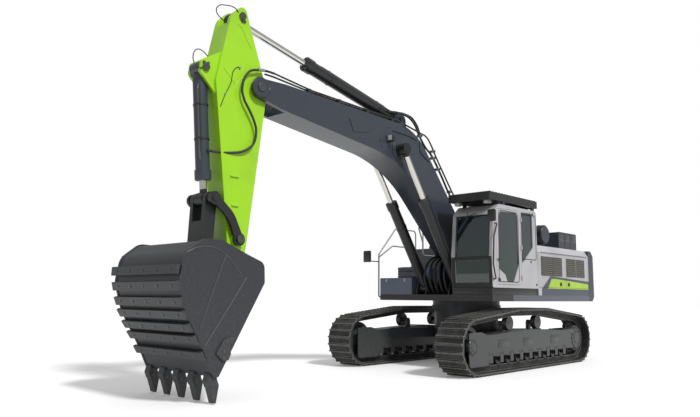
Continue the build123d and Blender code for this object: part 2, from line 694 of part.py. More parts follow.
def cab_glass():
    """Windscreen, lower screen, rear, right and rear side panes."""
    panes = [
        pane(REAR_SIDE_WINDOW, HALF_WIDTH - CAB_WALL / 2.0),
        pane(RIGHT_WINDOW, CAB_INNER_Y + CAB_WALL / 2.0),
    ]
    shell = plate(CAB_OUTLINE, CAB_INNER_Y, HALF_WIDTH)
    skin = extrude(offset(outline(CAB_OUTLINE, CAB_INNER_Y), amount=-20.0), amount=HALF_WIDTH - CAB_INNER_Y, dir=(0, 1, 0))
    core = extrude(offset(outline(CAB_OUTLINE, CAB_INNER_Y), amount=-20.0 - GLASS), amount=HALF_WIDTH - CAB_INNER_Y, dir=(0, 1, 0))
    sheet = skin - core
    for z_range in (WINDSCREEN_Z, LOWER_SCREEN_Z):
        cut = block(
            CAB_FRONT_X - 300.0, CAB_FRONT_X + 50.0, WINDSCREEN_Y[0] + GLASS_GAP, WINDSCREEN_Y[1] - GLASS_GAP,
            z_range[0] + GLASS_GAP, z_range[1] - GLASS_GAP,
        )
        panes.append(sheet & cut)
    cut = block(CAB_REAR_X - 50.0, CAB_REAR_X + 150.0, 720.0 + GLASS_GAP, 1430.0 - GLASS_GAP, 2400.0 + GLASS_GAP, 3150.0 - GLASS_GAP)
    panes.append(sheet & cut)
    return panes


def cab_guard():
    """Slatted guard over the cab roof, on four short feet."""
    z = GUARD_BOTTOM_Z
    body = block(CAB_REAR_X - 20.0, CAB_FRONT_X + 60.0, CAB_INNER_Y - 10.0, HALF_WIDTH + 10.0, z, z + GUARD_HEIGHT)
    body = body - block(CAB_REAR_X + 40.0, CAB_FRONT_X, CAB_INNER_Y + 50.0, HALF_WIDTH - 50.0, z - 10.0, z + GUARD_HEIGHT - 30.0)
    for x in (CAB_REAR_X + 150.0, CAB_FRONT_X - 500.0):
        for y in (CAB_INNER_Y + 20.0, HALF_WIDTH - 20.0):
            body = body + block(x - 50.0, x + 50.0, y - 20.0, y + 20.0, CAB_ROOF_Z, z + 20.0)
    return body


def operator_seat():
    base = block(-60.0, 420.0, 860.0, 1300.0, CAB_FLOOR_Z + CAB_WALL, 2080.0)
    cushion = block(-80.0, 470.0, 830.0, 1330.0, 2080.0, 2200.0)
    back = block(-180.0, -60.0, 850.0, 1310.0, 2130.0, 2900.0)
    return base + cushion + back


def console():
    """Travel levers' column and the monitor's post."""
    return block(1080.0, 1180.0, 960.0, 1200.0, CAB_FLOOR_Z + CAB_WALL, 2350.0)


# Boom

def boom():
    """Box boom with a rounded bend, a fork at the tip for the arm and lugs for its cylinder."""
    w = BOOM_HALF_WIDTH
    length = BOOM_LENGTH
    profile = [
        boom_at(-60.0, -195.0) + (180.0,), boom_at(250.0, -170.0) + (200.0,),
        boom_at(2899.0, 816.0) + (2900.0,), boom_at(length - 560.0, -60.0) + (900.0,),
        boom_at(length + 20.0, -175.0) + (100.0,), boom_at(length + 170.0, 0.0) + (90.0,),
        boom_at(length + 20.0, 160.0) + (100.0,), boom_at(length - 420.0, 365.0) + (500.0,),
        boom_at(BOOM_BEND_ALONG, BOOM_BEND_HEIGHT) + (1280.0,), boom_at(-140.0, 200.0) + (180.0,),
    ]
    body = plate(profile, -w, w)
    slot = plate(
        [
            boom_at(length - BOOM_FORK_DEPTH, 900.0), boom_at(length - BOOM_FORK_DEPTH, -500.0),
            boom_at(length + 500.0, -500.0), boom_at(length + 500.0, 900.0),
        ],
        -BOOM_FORK_HALF_GAP, BOOM_FORK_HALF_GAP,
    )
    body = body - slot - disc(BOOM_FOOT, 70.0 + PIN_GAP, -w - 10.0, w + 10.0)
    pin = disc(BOOM_TIP, 60.0, -w - 30.0, w + 30.0)
    lug_base = [(ARM_BASE_PIN, boom_at(ARM_CYLINDER_ALONG - 330.0, 1380.0), boom_at(ARM_CYLINDER_ALONG + 260.0, 1330.0))]
    parts = [body, pin]
    for top, rear, front in lug_base:
        for y_from in (-ARM_EYE_HALF_WIDTH - EYE_CLEARANCE - 50.0, ARM_EYE_HALF_WIDTH + EYE_CLEARANCE):
            lug = plate(
                [
                    rear, front, moved(top, turned(BOOM_ANGLE, 130.0, 20.0)) + (90.0,),
                    moved(top, turned(BOOM_ANGLE, 20.0, 140.0)) + (80.0,), moved(top, turned(BOOM_ANGLE, -130.0, 60.0)) + (90.0,),
                ],
                y_from, y_from + 50.0,
            )
            parts.append(lug)
    parts.append(disc(ARM_BASE_PIN, PIN_RADIUS, -ARM_EYE_HALF_WIDTH - 80.0, ARM_EYE_HALF_WIDTH + 80.0))
    parts.append(disc(BOOM_ROD_PIN, 190.0, -w - 26.0, w + 26.0))
    return fused(parts)


def cylinder_axis(base, eye):
    span = (eye[0] - base[0], eye[1] - base[1])
    length = hypot(*span)
    return (span[0] / length, span[1] / length), length


def barrel(base, eye, y, radius, length, eye_half, pin_radius):
    """Cylinder barrel with its base eye, bored for the rod."""
    axis, full = cylinder_axis(base, eye)
    start = (base[0] + axis[0] * 80.0, base[1] + axis[1] * 80.0)
    end = (base[0] + axis[0] * length, base[1] + axis[1] * length)
    neck = (base[0] + axis[0] * (length - 150.0), base[1] + axis[1] * (length - 150.0))
    body = side_bar(start, end, y, radius) + side_bar(neck, end, y, radius + 16.0)
    body = body + disc(base, EYE_RADIUS, y - eye_half, y + eye_half)
    body = body - disc(base, pin_radius + PIN_GAP, y - eye_half - 1.0, y + eye_half + 1.0)
    mouth = (base[0] + axis[0] * (length + 10.0), base[1] + axis[1] * (length + 10.0))
    deep = (base[0] + axis[0] * 300.0, base[1] + axis[1] * 300.0)
    return body - side_bar(deep, mouth, y, ROD_RADIUS + PIN_GAP)


def rod(base, eye, y, stroke_left, eye_half, pin_half):
    """Piston rod with its eye and the pin that stays in it."""
    axis, full = cylinder_axis(base, eye)
    inner = (base[0] + axis[0] * stroke_left, base[1] + axis[1] * stroke_left)
    outer = (eye[0] - axis[0] * 60.0, eye[1] - axis[1] * 60.0)
    body = side_bar(inner, outer, y, ROD_RADIUS)
    body = body + disc(eye, EYE_RADIUS, y - eye_half, y + eye_half)
    return body + disc(eye, PIN_RADIUS, y - pin_half, y + pin_half)


def boom_cylinder_barrels():
    solid = barrel(
        BOOM_CYLINDER_BASE, BOOM_ROD_PIN, BOOM_CYLINDER_Y, BOOM_BARREL_RADIUS, BOOM_BARREL_LENGTH,
        BOOM_ROD_EYE_WIDTH / 2.0, PIN_RADIUS,
    )
    return both_sides(solid)


def boom_cylinder_rods():
    solid = rod(
        BOOM_CYLINDER_BASE, BOOM_ROD_PIN, BOOM_CYLINDER_Y, 1300.0,
        BOOM_ROD_EYE_WIDTH / 2.0, BOOM_ROD_EYE_WIDTH / 2.0,
    )
    return both_sides(solid)


def arm_cylinder_barrel():
    return barrel(
        ARM_BASE_PIN, ARM_HEAD, 0.0, ARM_BARREL_RADIUS, ARM_BARREL_LENGTH, ARM_EYE_HALF_WIDTH, PIN_RADIUS,
    )


def arm_cylinder_rod():
    return rod(ARM_BASE_PIN, ARM_HEAD, 0.0, 1850.0, ARM_EYE_HALF_WIDTH, ARM_EYE_HALF_WIDTH)


def bucket_cylinder_barrel():
    return barrel(
        BUCKET_BASE_PIN, LINK_PIN, 0.0, BUCKET_BARREL_RADIUS, BUCKET_BARREL_LENGTH, BUCKET_EYE_HALF_WIDTH, PIN_RADIUS,
    )


def bucket_cylinder_rod():
    return rod(BUCKET_BASE_PIN, LINK_PIN, 0.0, 320.0, BUCKET_EYE_HALF_WIDTH, BUCKET_EYE_HALF_WIDTH)


# Arm

def arm():
    """Box arm with a forked head for its cylinder and ears for the bucket cylinder."""
    w = ARM_HALF_WIDTH
    length = ARM_LENGTH
    profile = [
        arm_at(-ARM_HEAD_LENGTH - 150.0, ARM_HEAD_OFFSET - 60.0) + (120.0,),
        arm_at(-ARM_HEAD_LENGTH + 120.0, ARM_HEAD_OFFSET - 190.0) + (160.0,),
        arm_at(-260.0, -70.0) + (400.0,), arm_at(60.0, -200.0) + (250.0,),
        arm_at(length - 420.0, -165.0) + (300.0,), arm_at(length - 60.0, -140.0) + (120.0,),
        arm_at(length + 130.0, 0.0) + (110.0,), arm_at(length - 20.0, 140.0) + (120.0,),
        arm_at(length - 430.0, 215.0) + (300.0,), arm_at(657.0, 660.0) + (900.0,),
        arm_at(150.0, 790.0) + (200.0,),
        arm_at(-ARM_HEAD_LENGTH + 60.0, ARM_HEAD_OFFSET + 205.0) + (300.0,),
        arm_at(-ARM_HEAD_LENGTH - 150.0, ARM_HEAD_OFFSET + 40.0) + (120.0,),
    ]
    body = plate(profile, -w, w)
    head_gap = ARM_EYE_HALF_WIDTH + EYE_CLEARANCE
    notch = plate(
        [
            arm_at(-ARM_HEAD_LENGTH - 400.0, ARM_HEAD_OFFSET - 900.0), arm_at(-ARM_HEAD_LENGTH + 320.0, ARM_HEAD_OFFSET - 900.0),
            arm_at(-ARM_HEAD_LENGTH + 320.0, ARM_HEAD_OFFSET + 40.0) + (240.0,),
            arm_at(-ARM_HEAD_LENGTH + 40.0, ARM_HEAD_OFFSET + 400.0), arm_at(-ARM_HEAD_LENGTH - 400.0, ARM_HEAD_OFFSET + 400.0),
        ],
        -head_gap, head_gap,
    )
    body = body - notch - disc(ARM_HEAD, EYE_RADIUS + 40.0, -head_gap, head_gap)
    body = body - disc(BOOM_TIP, 60.0 + PIN_GAP, -w - 10.0, w + 10.0)
    ear_gap = BUCKET_EYE_HALF_WIDTH + EYE_CLEARANCE
    for y_from in (-ear_gap - 50.0, ear_gap):
        ear = plate(
            [
                arm_at(-420.0, 640.0), arm_at(420.0, 600.0), arm_at(330.0, 760.0) + (60.0,),
                moved(BUCKET_BASE_PIN, turned(ARM_ANGLE, 90.0, 90.0)) + (80.0,),
                moved(BUCKET_BASE_PIN, turned(ARM_ANGLE, -90.0, 90.0)) + (80.0,),
            ],
            y_from, y_from + 50.0,
        )
        body = body + ear
    pins = [
        disc(BUCKET_BASE_PIN, PIN_RADIUS, -ear_gap - 70.0, ear_gap + 70.0),
        disc(GUIDE_PIVOT, 95.0, -GUIDE_INNER_Y + 5.0, GUIDE_INNER_Y - 5.0),
        disc(GUIDE_PIVOT, PIN_RADIUS, -GUIDE_INNER_Y - GUIDE_PLATE - 15.0, GUIDE_INNER_Y + GUIDE_PLATE + 15.0),
    ]
    pins += both_sides(disc(ARM_HEAD, PIN_RADIUS, head_gap, w + 20.0))
    body = fused([body] + pins)
    return body - disc(ARM_TIP, 65.0 + PIN_GAP, -w - 10.0, w + 10.0)


# Bucket linkage

def guide_links():
    """Curved links from the arm to the link pin, each with its half of that pin."""
    axis, length = cylinder_axis(GUIDE_PIVOT, LINK_PIN)
    heading = degrees(atan2(axis[1], axis[0]))
    link = plate(
        [
            moved(GUIDE_PIVOT, turned(heading, 0.0, -70.0)), moved(GUIDE_PIVOT, turned(heading, length * 0.5, 20.0)) + (500.0,),
            moved(LINK_PIN, turned(heading, 0.0, -70.0)), moved(LINK_PIN, turned(heading, 0.0, 75.0)),
            moved(GUIDE_PIVOT, turned(heading, length * 0.5, 150.0)) + (500.0,), moved(GUIDE_PIVOT, turned(heading, 0.0, 75.0)),
        ],
        GUIDE_INNER_Y, GUIDE_INNER_Y + GUIDE_PLATE,
    )
    link = link + disc(GUIDE_PIVOT, 100.0, GUIDE_INNER_Y, GUIDE_INNER_Y + GUIDE_PLATE)
    link = link + disc(LINK_PIN, 100.0, GUIDE_INNER_Y, GUIDE_INNER_Y + GUIDE_PLATE)
    link = link - disc(GUIDE_PIVOT, PIN_RADIUS + PIN_GAP, GUIDE_INNER_Y - 5.0, GUIDE_INNER_Y + GUIDE_PLATE + 5.0)
    pin = disc(LINK_PIN, PIN_RADIUS, LINK_EAR_INNER_Y, GUIDE_INNER_Y + GUIDE_PLATE + 15.0)
    collar = disc(LINK_PIN, 85.0, LINK_EAR_INNER_Y + LINK_EAR_PLATE + 5.0, GUIDE_INNER_Y + 1.0)
    return both_sides(link + pin + collar)


def connecting_link():
    """Box link from the link pin to the bucket's ears, forked round the bucket cylinder's eye."""
    axis, length = cylinder_axis(LINK_PIN, EAR_PIN)
    heading = degrees(atan2(axis[1], axis[0]))
    half = LINK_EAR_INNER_Y + LINK_EAR_PLATE
    body = plate(
        [
            moved(LINK_PIN, turned(heading, 0.0, -100.0)), moved(LINK_PIN, turned(heading, length, -95.0)),
            moved(LINK_PIN, turned(heading, length, 95.0)), moved(LINK_PIN, turned(heading, 0.0, 100.0)),
        ],
        -half, half,
    )
    body = body + disc(LINK_PIN, 105.0, -half, half) + disc(EAR_PIN, 105.0, -half, half)
    gap = plate(
        [
            moved(LINK_PIN, turned(heading, -200.0, -200.0)), moved(LINK_PIN, turned(heading, 340.0, -200.0)),
            moved(LINK_PIN, turned(heading, 340.0, 200.0)), moved(LINK_PIN, turned(heading, -200.0, 200.0)),
        ],
        -LINK_EAR_INNER_Y, LINK_EAR_INNER_Y,
    )
    return body - gap - disc(LINK_PIN, PIN_RADIUS + PIN_GAP, -half - 5.0, half + 5.0)


# Bucket

SIDE_PROFILE = [
    (-60.0, -221.0, 60.0), (-45.0, 60.0, 110.0), (280.0, 178.0, 200.0), (700.0, 345.0, 250.0), (1010.0, 352.0, 200.0),
    (1300.0, 130.0, 250.0), (1365.0, -230.0, 300.0), (1240.0, -640.0, 900.0), (965.0, -1110.0, 120.0),
    (780.0, -1482.0, 10.0), (698.0, -1489.0, 10.0),
]
WRAPPER_PROFILE = [
    (120.0, -270.0, 20.0), (640.0, -140.0, 60.0), (850.0, 300.0, 60.0), (1010.0, 340.0, 180.0),
    (1290.0, 125.0, 245.0), (1353.0, -232.0, 295.0), (1228.0, -640.0, 880.0), (955.0, -1110.0, 115.0),
    (770.0, -1482.0, 10.0), (698.0, -1489.0, 10.0),
]


def bucket():
    """Open bucket: a wrapper between two side plates, with two ears for its hinge and its link."""
    half = BUCKET_WIDTH / 2.0
    inner_half = half - BUCKET_SIDE_PLATE
    side_points = [bucket_at(p[0], p[1]) + (p[2],) for p in SIDE_PROFILE]
    wrapper_points = [bucket_at(p[0], p[1]) + (p[2],) for p in WRAPPER_PROFILE]
    cavity = extrude(
        offset(outline(wrapper_points, -inner_half), amount=-BUCKET_WRAPPER), amount=2.0 * inner_half, dir=(0, 1, 0))
    mouth = plate(
        [bucket_at(150.0, -240.0), bucket_at(190.0, -330.0), bucket_at(690.0, -1420.0), bucket_at(300.0, -1500.0), bucket_at(-300.0, -300.0)],
        -inner_half, inner_half,
    )
    wrapper = plate(wrapper_points, -inner_half, inner_half) - cavity - mouth
    parts = [wrapper]
    parts += both_sides(plate(side_points, inner_half, half))
    ear = [
        (-125.0, -20.0), (-100.0, -200.0, 60.0), (110.0, -300.0, 30.0), (660.0, -160.0, 30.0), (640.0, 60.0, 100.0),
        (520.0, 250.0, 120.0), (380.0, 190.0, 120.0), (60.0, 140.0, 120.0), (-110.0, 110.0, 110.0),
    ]
    ear_points = [bucket_at(*p[:2]) + tuple(p[2:]) for p in ear]
    parts += both_sides(plate(ear_points, EAR_INNER_Y, EAR_INNER_Y + EAR_PLATE))
    body = fused(parts)
    pin = disc(ARM_TIP, 65.0, -EAR_INNER_Y - EAR_PLATE - 20.0, EAR_INNER_Y + EAR_PLATE + 20.0)
    stubs = both_sides(disc(EAR_PIN, PIN_RADIUS, EAR_INNER_Y, EAR_INNER_Y + EAR_PLATE + 20.0))
    return fused([body, pin] + stubs)


def bucket_teeth():
    """Wedge teeth over the lip, each with its adapter."""
    solids = []
    reach = BUCKET_WIDTH / 2.0 - 110.0
    for index in range(TOOTH_COUNT):
        y = -reach + 2.0 * reach * index / (TOOTH_COUNT - 1)
        tooth = plate(
            [
                bucket_at(698.0, -1490.0), bucket_at(786.0, -1490.0), bucket_at(800.0, -1600.0),
                bucket_at(BUCKET_TIP_X + 30.0, BUCKET_TIP_Z), bucket_at(BUCKET_TIP_X, BUCKET_TIP_Z), bucket_at(650.0, -1600.0),
            ],
            y - 60.0, y + 60.0,
        )
        solids.append(tooth)
    return solids


def boom_lines():
    """Steel pipes clamped along the top of the boom."""
    solids = []
    for y in (-180.0, -120.0, 120.0, 180.0):
        points = [boom_at(500.0, 560.0), boom_at(BOOM_BEND_ALONG - 350.0, BOOM_BEND_HEIGHT - 110.0), ]
        solids.append(side_bar(points[0], points[1], y, 20.0))
    return solids


def handrails():
    """Bent tube rails on the right front corner."""
    lower = pipe(
        [
            (1100.0, -HALF_WIDTH, 1440.0), (1100.0, -1640.0, 1440.0), (1100.0, -1640.0, 2350.0), (600.0, -1640.0, 2640.0),
            (-100.0, -1640.0, 2640.0), (-100.0, -1640.0, 2450.0), (-100.0, -HALF_WIDTH, 2450.0),
        ],
        17.0, 45.0,
    )
    return [lower]


def service_doors_left():
    return service_door(*FRONT_DOOR_X, 1.0)


def write(name, solids):
    """Move a sub-part to the row's origin and write its file."""
    if not isinstance(solids, list):
        solids = [solids]
    placed = [Location(ROW_SHIFT) * solid for solid in solids]
    shape = placed[0] if len(placed) == 1 else Compound(children=placed)
    export_step(shape, "parts/" + name + ".step")


def main():
    os.makedirs("parts", exist_ok=True)
    frame = track_frame()
    loop = track_loop()
    wheels = rollers()
    write("left_track_frame", frame)
    write("right_track_frame", mirror(frame, about=Plane.XZ))
    write("left_track", loop)
    write("right_track", mirror(loop, about=Plane.XZ))
    write("left_rollers", wheels)
    write("right_rollers", [mirror(wheel, about=Plane.XZ) for wheel in wheels])
    write("left_idler", idler())
    write("right_idler", mirror(idler(), about=Plane.XZ))
    write("left_sprocket", sprocket())
    write("right_sprocket", mirror(sprocket(), about=Plane.XZ))
    write("car_body", car_body())
    write("swing_bearing_lower", swing_bearing_lower())
    write("swing_bearing_upper", swing_bearing_upper())
    write("revolving_frame", revolving_frame())
    write("counterweight", counterweight())
    write("engine_hood", engine_hood())
    write("front_service_door", service_door(*FRONT_DOOR_X, 1.0))
    write("rear_service_door", service_door(*REAR_DOOR_X, 1.0))
    write("right_service_door", service_door(*REAR_DOOR_X, -1.0))
    write("engine_block", engine_block())
    write("cooler_pack", cooler_pack())
    write("valve_cover", valve_cover())
    write("fuel_tank", fuel_tank())
    write("hydraulic_tank", hydraulic_tank())
    write("step_box", step_box())
    write("tool_box", tool_box())
    write("tool_box_lid", tool_box_lid())
    write("air_cleaner", air_cleaner())
    write("exhaust_box", exhaust_box())
    write("handrails", handrails())
    write("cab_shell", cab_shell())
    write("cab_door", cab_door())
    write("door_glass", door_glass())
    write("cab_glass", cab_glass())
    write("cab_guard", cab_guard())
    write("operator_seat", operator_seat())
    write("console", console())
    write("boom", boom())
    write("boom_lines", boom_lines())
    write("boom_cylinder_barrels", boom_cylinder_barrels())
    write("boom_cylinder_rods", boom_cylinder_rods())
    write("arm_cylinder_barrel", arm_cylinder_barrel())
    write("arm_cylinder_rod", arm_cylinder_rod())
    write("arm", arm())
    write("bucket_cylinder_barrel", bucket_cylinder_barrel())
    write("bucket_cylinder_rod", bucket_cylinder_rod())
    write("guide_links", guide_links())
    write("connecting_link", connecting_link())
    write("bucket", bucket())
    write("bucket_teeth", bucket_teeth())


main()
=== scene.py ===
import json
from math import acos, cos, pi, radians, sin, tan

import bmesh
import bpy
from mathutils import Matrix, Vector


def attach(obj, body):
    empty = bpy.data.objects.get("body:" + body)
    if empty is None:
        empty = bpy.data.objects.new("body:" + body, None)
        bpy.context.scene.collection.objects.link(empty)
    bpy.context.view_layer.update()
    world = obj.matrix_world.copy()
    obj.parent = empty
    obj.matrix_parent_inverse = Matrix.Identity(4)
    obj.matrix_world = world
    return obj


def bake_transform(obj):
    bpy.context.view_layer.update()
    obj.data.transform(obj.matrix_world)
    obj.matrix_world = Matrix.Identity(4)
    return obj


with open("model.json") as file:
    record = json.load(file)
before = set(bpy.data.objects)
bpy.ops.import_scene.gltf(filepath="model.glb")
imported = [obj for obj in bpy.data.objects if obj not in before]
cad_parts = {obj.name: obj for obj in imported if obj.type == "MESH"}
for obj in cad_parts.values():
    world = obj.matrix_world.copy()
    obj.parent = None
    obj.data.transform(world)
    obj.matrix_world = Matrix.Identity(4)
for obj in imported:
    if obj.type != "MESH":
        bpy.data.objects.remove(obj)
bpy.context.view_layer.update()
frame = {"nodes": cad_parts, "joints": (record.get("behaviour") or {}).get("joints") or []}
NODES = frame["nodes"]
JOINTS = {joint["name"]: joint for joint in frame["joints"]}

# Places are given as the part's source gives them: millimetres from the swing axis on the ground.
SWING = Vector((JOINTS["house_swing"]["pos_m"][0], 0.0, 0.0))
MM = 0.001
TO_FRAME = Matrix.Translation(SWING) @ Matrix.Scale(MM, 4)

# Camera, from the swing axis on the ground, in metres and degrees
CAMERA_PLACE = Vector((12.708, 8.233, 1.439))
CAMERA_YAW = 222.93
CAMERA_PITCH = 7.66
CAMERA_ROLL = 0.45
PHOTO_WIDTH = 700.0
FOCAL_PIXELS = 656.0
SENSOR_MM = 36.0


def aim_camera():
    """Stand the camera where the photograph was taken from."""
    yaw, pitch, roll = radians(CAMERA_YAW), radians(CAMERA_PITCH), radians(CAMERA_ROLL)
    forward = Vector((cos(yaw) * cos(pitch), sin(yaw) * cos(pitch), sin(pitch)))
    level_right = Vector((sin(yaw), -cos(yaw), 0.0))
    level_up = level_right.cross(forward)
    right = cos(roll) * level_right + sin(roll) * level_up
    up = cos(roll) * level_up - sin(roll) * level_right
    data = bpy.data.cameras.new("photo_camera")
    data.sensor_width = SENSOR_MM
    data.lens = FOCAL_PIXELS * SENSOR_MM / PHOTO_WIDTH
    data.clip_end = 200.0
    camera = bpy.data.objects.new("photo_camera", data)
    bpy.context.scene.collection.objects.link(camera)
    turn = Matrix((right, up, -forward)).transposed().to_4x4()
    camera.matrix_world = Matrix.Translation(CAMERA_PLACE + SWING) @ turn
    bpy.context.scene.camera = camera


# Sizes shared with the part's source

BOOM_FOOT = (250.0, 2250.0)
BOOM_LENGTH = 6524.0
BOOM_ANGLE = 22.44
BOOM_HALF_WIDTH = 290.0
BOOM_TOP = [(2803.0, 1654.0), (BOOM_LENGTH - 420.0, 365.0)]
ARM_LENGTH = 2911.0
ARM_ANGLE = -83.24
ARM_HALF_WIDTH = 204.0
ARM_HEAD_LENGTH = 1050.0
ARM_HEAD_OFFSET = 472.0
BOOM_CYLINDER_Y = 420.0
BOOM_CYLINDER_BASE = (930.0, 1645.0)
BOOM_BARREL_LENGTH = 2130.0
BOOM_BARREL_RADIUS = 108.0
ARM_BARREL_LENGTH = 2560.0
ARM_BARREL_RADIUS = 118.0
BUCKET_BARREL_LENGTH = 1700.0
BUCKET_BARREL_RADIUS = 108.0
LINK_PIN = (7080.0, 2865.0)
HALF_WIDTH = 1546.0
TAIL_RADIUS = 3750.0
WHEEL_BASE = 4382.0
AXLE_Z = 538.0
BUCKET_HALF_WIDTH = 850.0
BOLT_ACROSS = 0.030
BOLT_HEIGHT = 0.016


def turned(direction, along, offset=0.0):
    """Step in the side view: a distance along a direction and an offset to its left."""
    c, s = cos(radians(direction)), sin(radians(direction))
    return (along * c - offset * s, along * s + offset * c)


def moved(start, step):
    return (start[0] + step[0], start[1] + step[1])


BOOM_TIP = moved(BOOM_FOOT, turned(BOOM_ANGLE, BOOM_LENGTH))
ARM_TIP = moved(BOOM_TIP, turned(ARM_ANGLE, ARM_LENGTH))
ARM_HEAD = moved(BOOM_TIP, turned(ARM_ANGLE, -ARM_HEAD_LENGTH, ARM_HEAD_OFFSET))
BOOM_ROD_PIN = moved(BOOM_FOOT, turned(BOOM_ANGLE, 3121.0, 946.0))
ARM_BASE_PIN = moved(BOOM_FOOT, turned(BOOM_ANGLE, 3187.0, 1692.0))
BUCKET_BASE_PIN = moved(BOOM_TIP, turned(ARM_ANGLE, 4.0, 970.0))
GUIDE_PIVOT = moved(BOOM_TIP, turned(ARM_ANGLE, 2480.0, 46.0))
EAR_PIN = moved(ARM_TIP, (505.0, 120.0))


def boom_at(along, height):
    return moved(BOOM_FOOT, turned(BOOM_ANGLE, along, height))


def bucket_at(x, z):
    return moved(ARM_TIP, (x, z))


def on_side(points, y):
    """Side-view points as places in space."""
    return [Vector((x, y, z)) for x, z in points]


# Paths and outlines

def bent(points, radius, steps=5):
    """Straight runs with round bends between them, as a steel pipe has."""
    places = [Vector(point) for point in points]
    path = [places[0]]
    for before, corner, after in zip(places, places[1:], places[2:]):
        into, out = (corner - before), (after - corner)
        reach = min(into.length, out.length) * 0.48
        into.normalize()
        out.normalize()
        angle = acos(max(-1.0, min(1.0, into.dot(out))))
        if angle < 0.02:
            path.append(corner)
            continue
        bend = min(radius, reach / tan(angle / 2.0))
        start = corner - into * bend * tan(angle / 2.0)
        inward = (out - into * into.dot(out)).normalized()
        centre = start + inward * bend
        for step in range(steps + 1):
            turn = angle * step / steps
            path.append(centre + bend * (into * sin(turn) - inward * cos(turn)))
    path.append(places[-1])
    return path


def flowing(points, steps=7):
    """Smooth line through the points, as a hose lies."""
    places = [Vector(point) for point in points]
    padded = [2.0 * places[0] - places[1]] + places + [2.0 * places[-1] - places[-2]]
    path = []
    for p0, p1, p2, p3 in zip(padded, padded[1:], padded[2:], padded[3:]):
        for step in range(steps):
            t = step / steps
            path.append(0.5 * (
                2.0 * p1 + (p2 - p0) * t + (2.0 * p0 - 5.0 * p1 + 4.0 * p2 - p3) * t ** 2
                + (3.0 * p1 - p0 - 3.0 * p2 + p3) * t ** 3
            ))
    path.append(places[-1])
    return path


def rounded(points, steps=5):
    """Closed side-view outline whose corners (x, z, radius) are rounded."""
    outline = []
    count = len(points)
    for index, point in enumerate(points):
        here = Vector(point[:2])
        radius = point[2] if len(point) > 2 else 0.0
        if radius <= 0.0:
            outline.append(tuple(here))
            continue
        before, after = Vector(points[index - 1][:2]), Vector(points[(index + 1) % count][:2])
        corner = bent([before.to_3d(), here.to_3d(), after.to_3d()], radius, steps)
        outline += [(place.x, place.y) for place in corner[1:-1]]
    return outline


def crosswise(heading):
    """A way that stands square to another."""
    guide = Vector((0.0, 0.0, 1.0)) if abs(heading.z) < 0.9 else Vector((1.0, 0.0, 0.0))
    return heading.cross(guide)


def circle(centre, radius, across, other, sides):
    """Points round a centre, in the plane of two ways."""
    turns = [2.0 * pi * side / sides for side in range(sides)]
    return [centre + radius * (cos(turn) * across + sin(turn) * other) for turn in turns]


class Work:
    """Mesh being made, in millimetres from the swing axis."""

    def __init__(self):
        self.mesh = bmesh.new()

    def skin(self, rings, closed=False):
        """Join equal rings of points, and cap the ends of an open row of them."""
        rows = [[self.mesh.verts.new(point) for point in ring] for ring in rings]
        pairs = list(zip(rows, rows[1:]))
        if closed:
            pairs.append((rows[-1], rows[0]))
        for low, high in pairs:
            for index in range(len(low)):
                after = (index + 1) % len(low)
                self.mesh.faces.new((low[index], low[after], high[after], high[index]))
        if not closed:
            self.mesh.faces.new(rows[0][::-1])
            self.mesh.faces.new(rows[-1])
        return self

    def box(self, x, y, z, edge=4.0):
        """Box between two corners with its edges rounded off."""
        size = [abs(high - low) for low, high in (x, y, z)]
        middle = [(low + high) / 2.0 for low, high in (x, y, z)]
        place = Matrix.Translation(middle) @ Matrix.Diagonal(size + [1.0])
        made = bmesh.ops.create_cube(self.mesh, size=1.0, matrix=place)
        edges = {side for vert in made["verts"] for side in vert.link_edges}
        edge = min(edge, min(size) * 0.4)
        bmesh.ops.bevel(self.mesh, geom=list(edges), offset=edge, segments=2, profile=0.5, affect="EDGES")
        return self

    def plate(self, outline, y_from, y_to):
        """Plate across the machine with a side-view outline."""
        flat = rounded(outline)
        return self.skin([[(x, y, z) for x, z in flat] for y in (y_from, y_to)])

    def tube(self, path, radius, sides=10, closed=False):
        """Round tube along a path, carried without twist."""
        count = len(path)
        across = None
        rings = []
        for index in range(count):
            before = path[index - 1] if index or closed else path[0]
            after = path[(index + 1) % count] if closed or index < count - 1 else path[-1]
            heading = (after - before).normalized()
            if across is None:
                across = crosswise(heading)
            across = (across - heading * across.dot(heading)).normalized()
            rings.append(circle(path[index], radius, across, heading.cross(across), sides))
        return self.skin(rings, closed)

    def lathe(self, start, axis, profile, sides=36, closed=False):
        """Turned shape: (along, radius) pairs from a start, about an axis."""
        axis = Vector(axis).normalized()
        across = crosswise(axis).normalized()
        other = axis.cross(across)
        return self.skin([
            circle(Vector(start) + axis * along, radius, across, other, sides) for along, radius in profile
        ], closed)

    def stud(self, x, y, z, side, profile, sides=36):
        """Turned shape that stands out from a face, y from the machine's middle, on one side of it."""
        return self.lathe((x, side * y, z), (0.0, side, 0.0), profile, sides)

    def done(self, name, material, body, sharp=38.0):
        """Turn the work into a piece that rides on a body."""
        bmesh.ops.recalc_face_normals(self.mesh, faces=self.mesh.faces)
        self.mesh.transform(TO_FRAME)
        mesh = bpy.data.meshes.new(name)
        self.mesh.to_mesh(mesh)
        self.mesh.free()
        return as_piece(name, mesh, material, body, sharp)


def as_piece(name, mesh, material, body, sharp=38.0):
    for face in mesh.polygons:
        face.use_smooth = True
    mesh.set_sharp_from_angle(angle=radians(sharp))
    mesh.materials.clear()
    mesh.materials.append(material)
    piece = bpy.data.objects.new(name, mesh)
    bpy.context.scene.collection.objects.link(piece)
    if isinstance(body, str):
        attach(piece, body)
    else:
        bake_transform(piece)
    return piece


def in_frame(place):
    return tuple(TO_FRAME @ Vector(place))


# Nodes

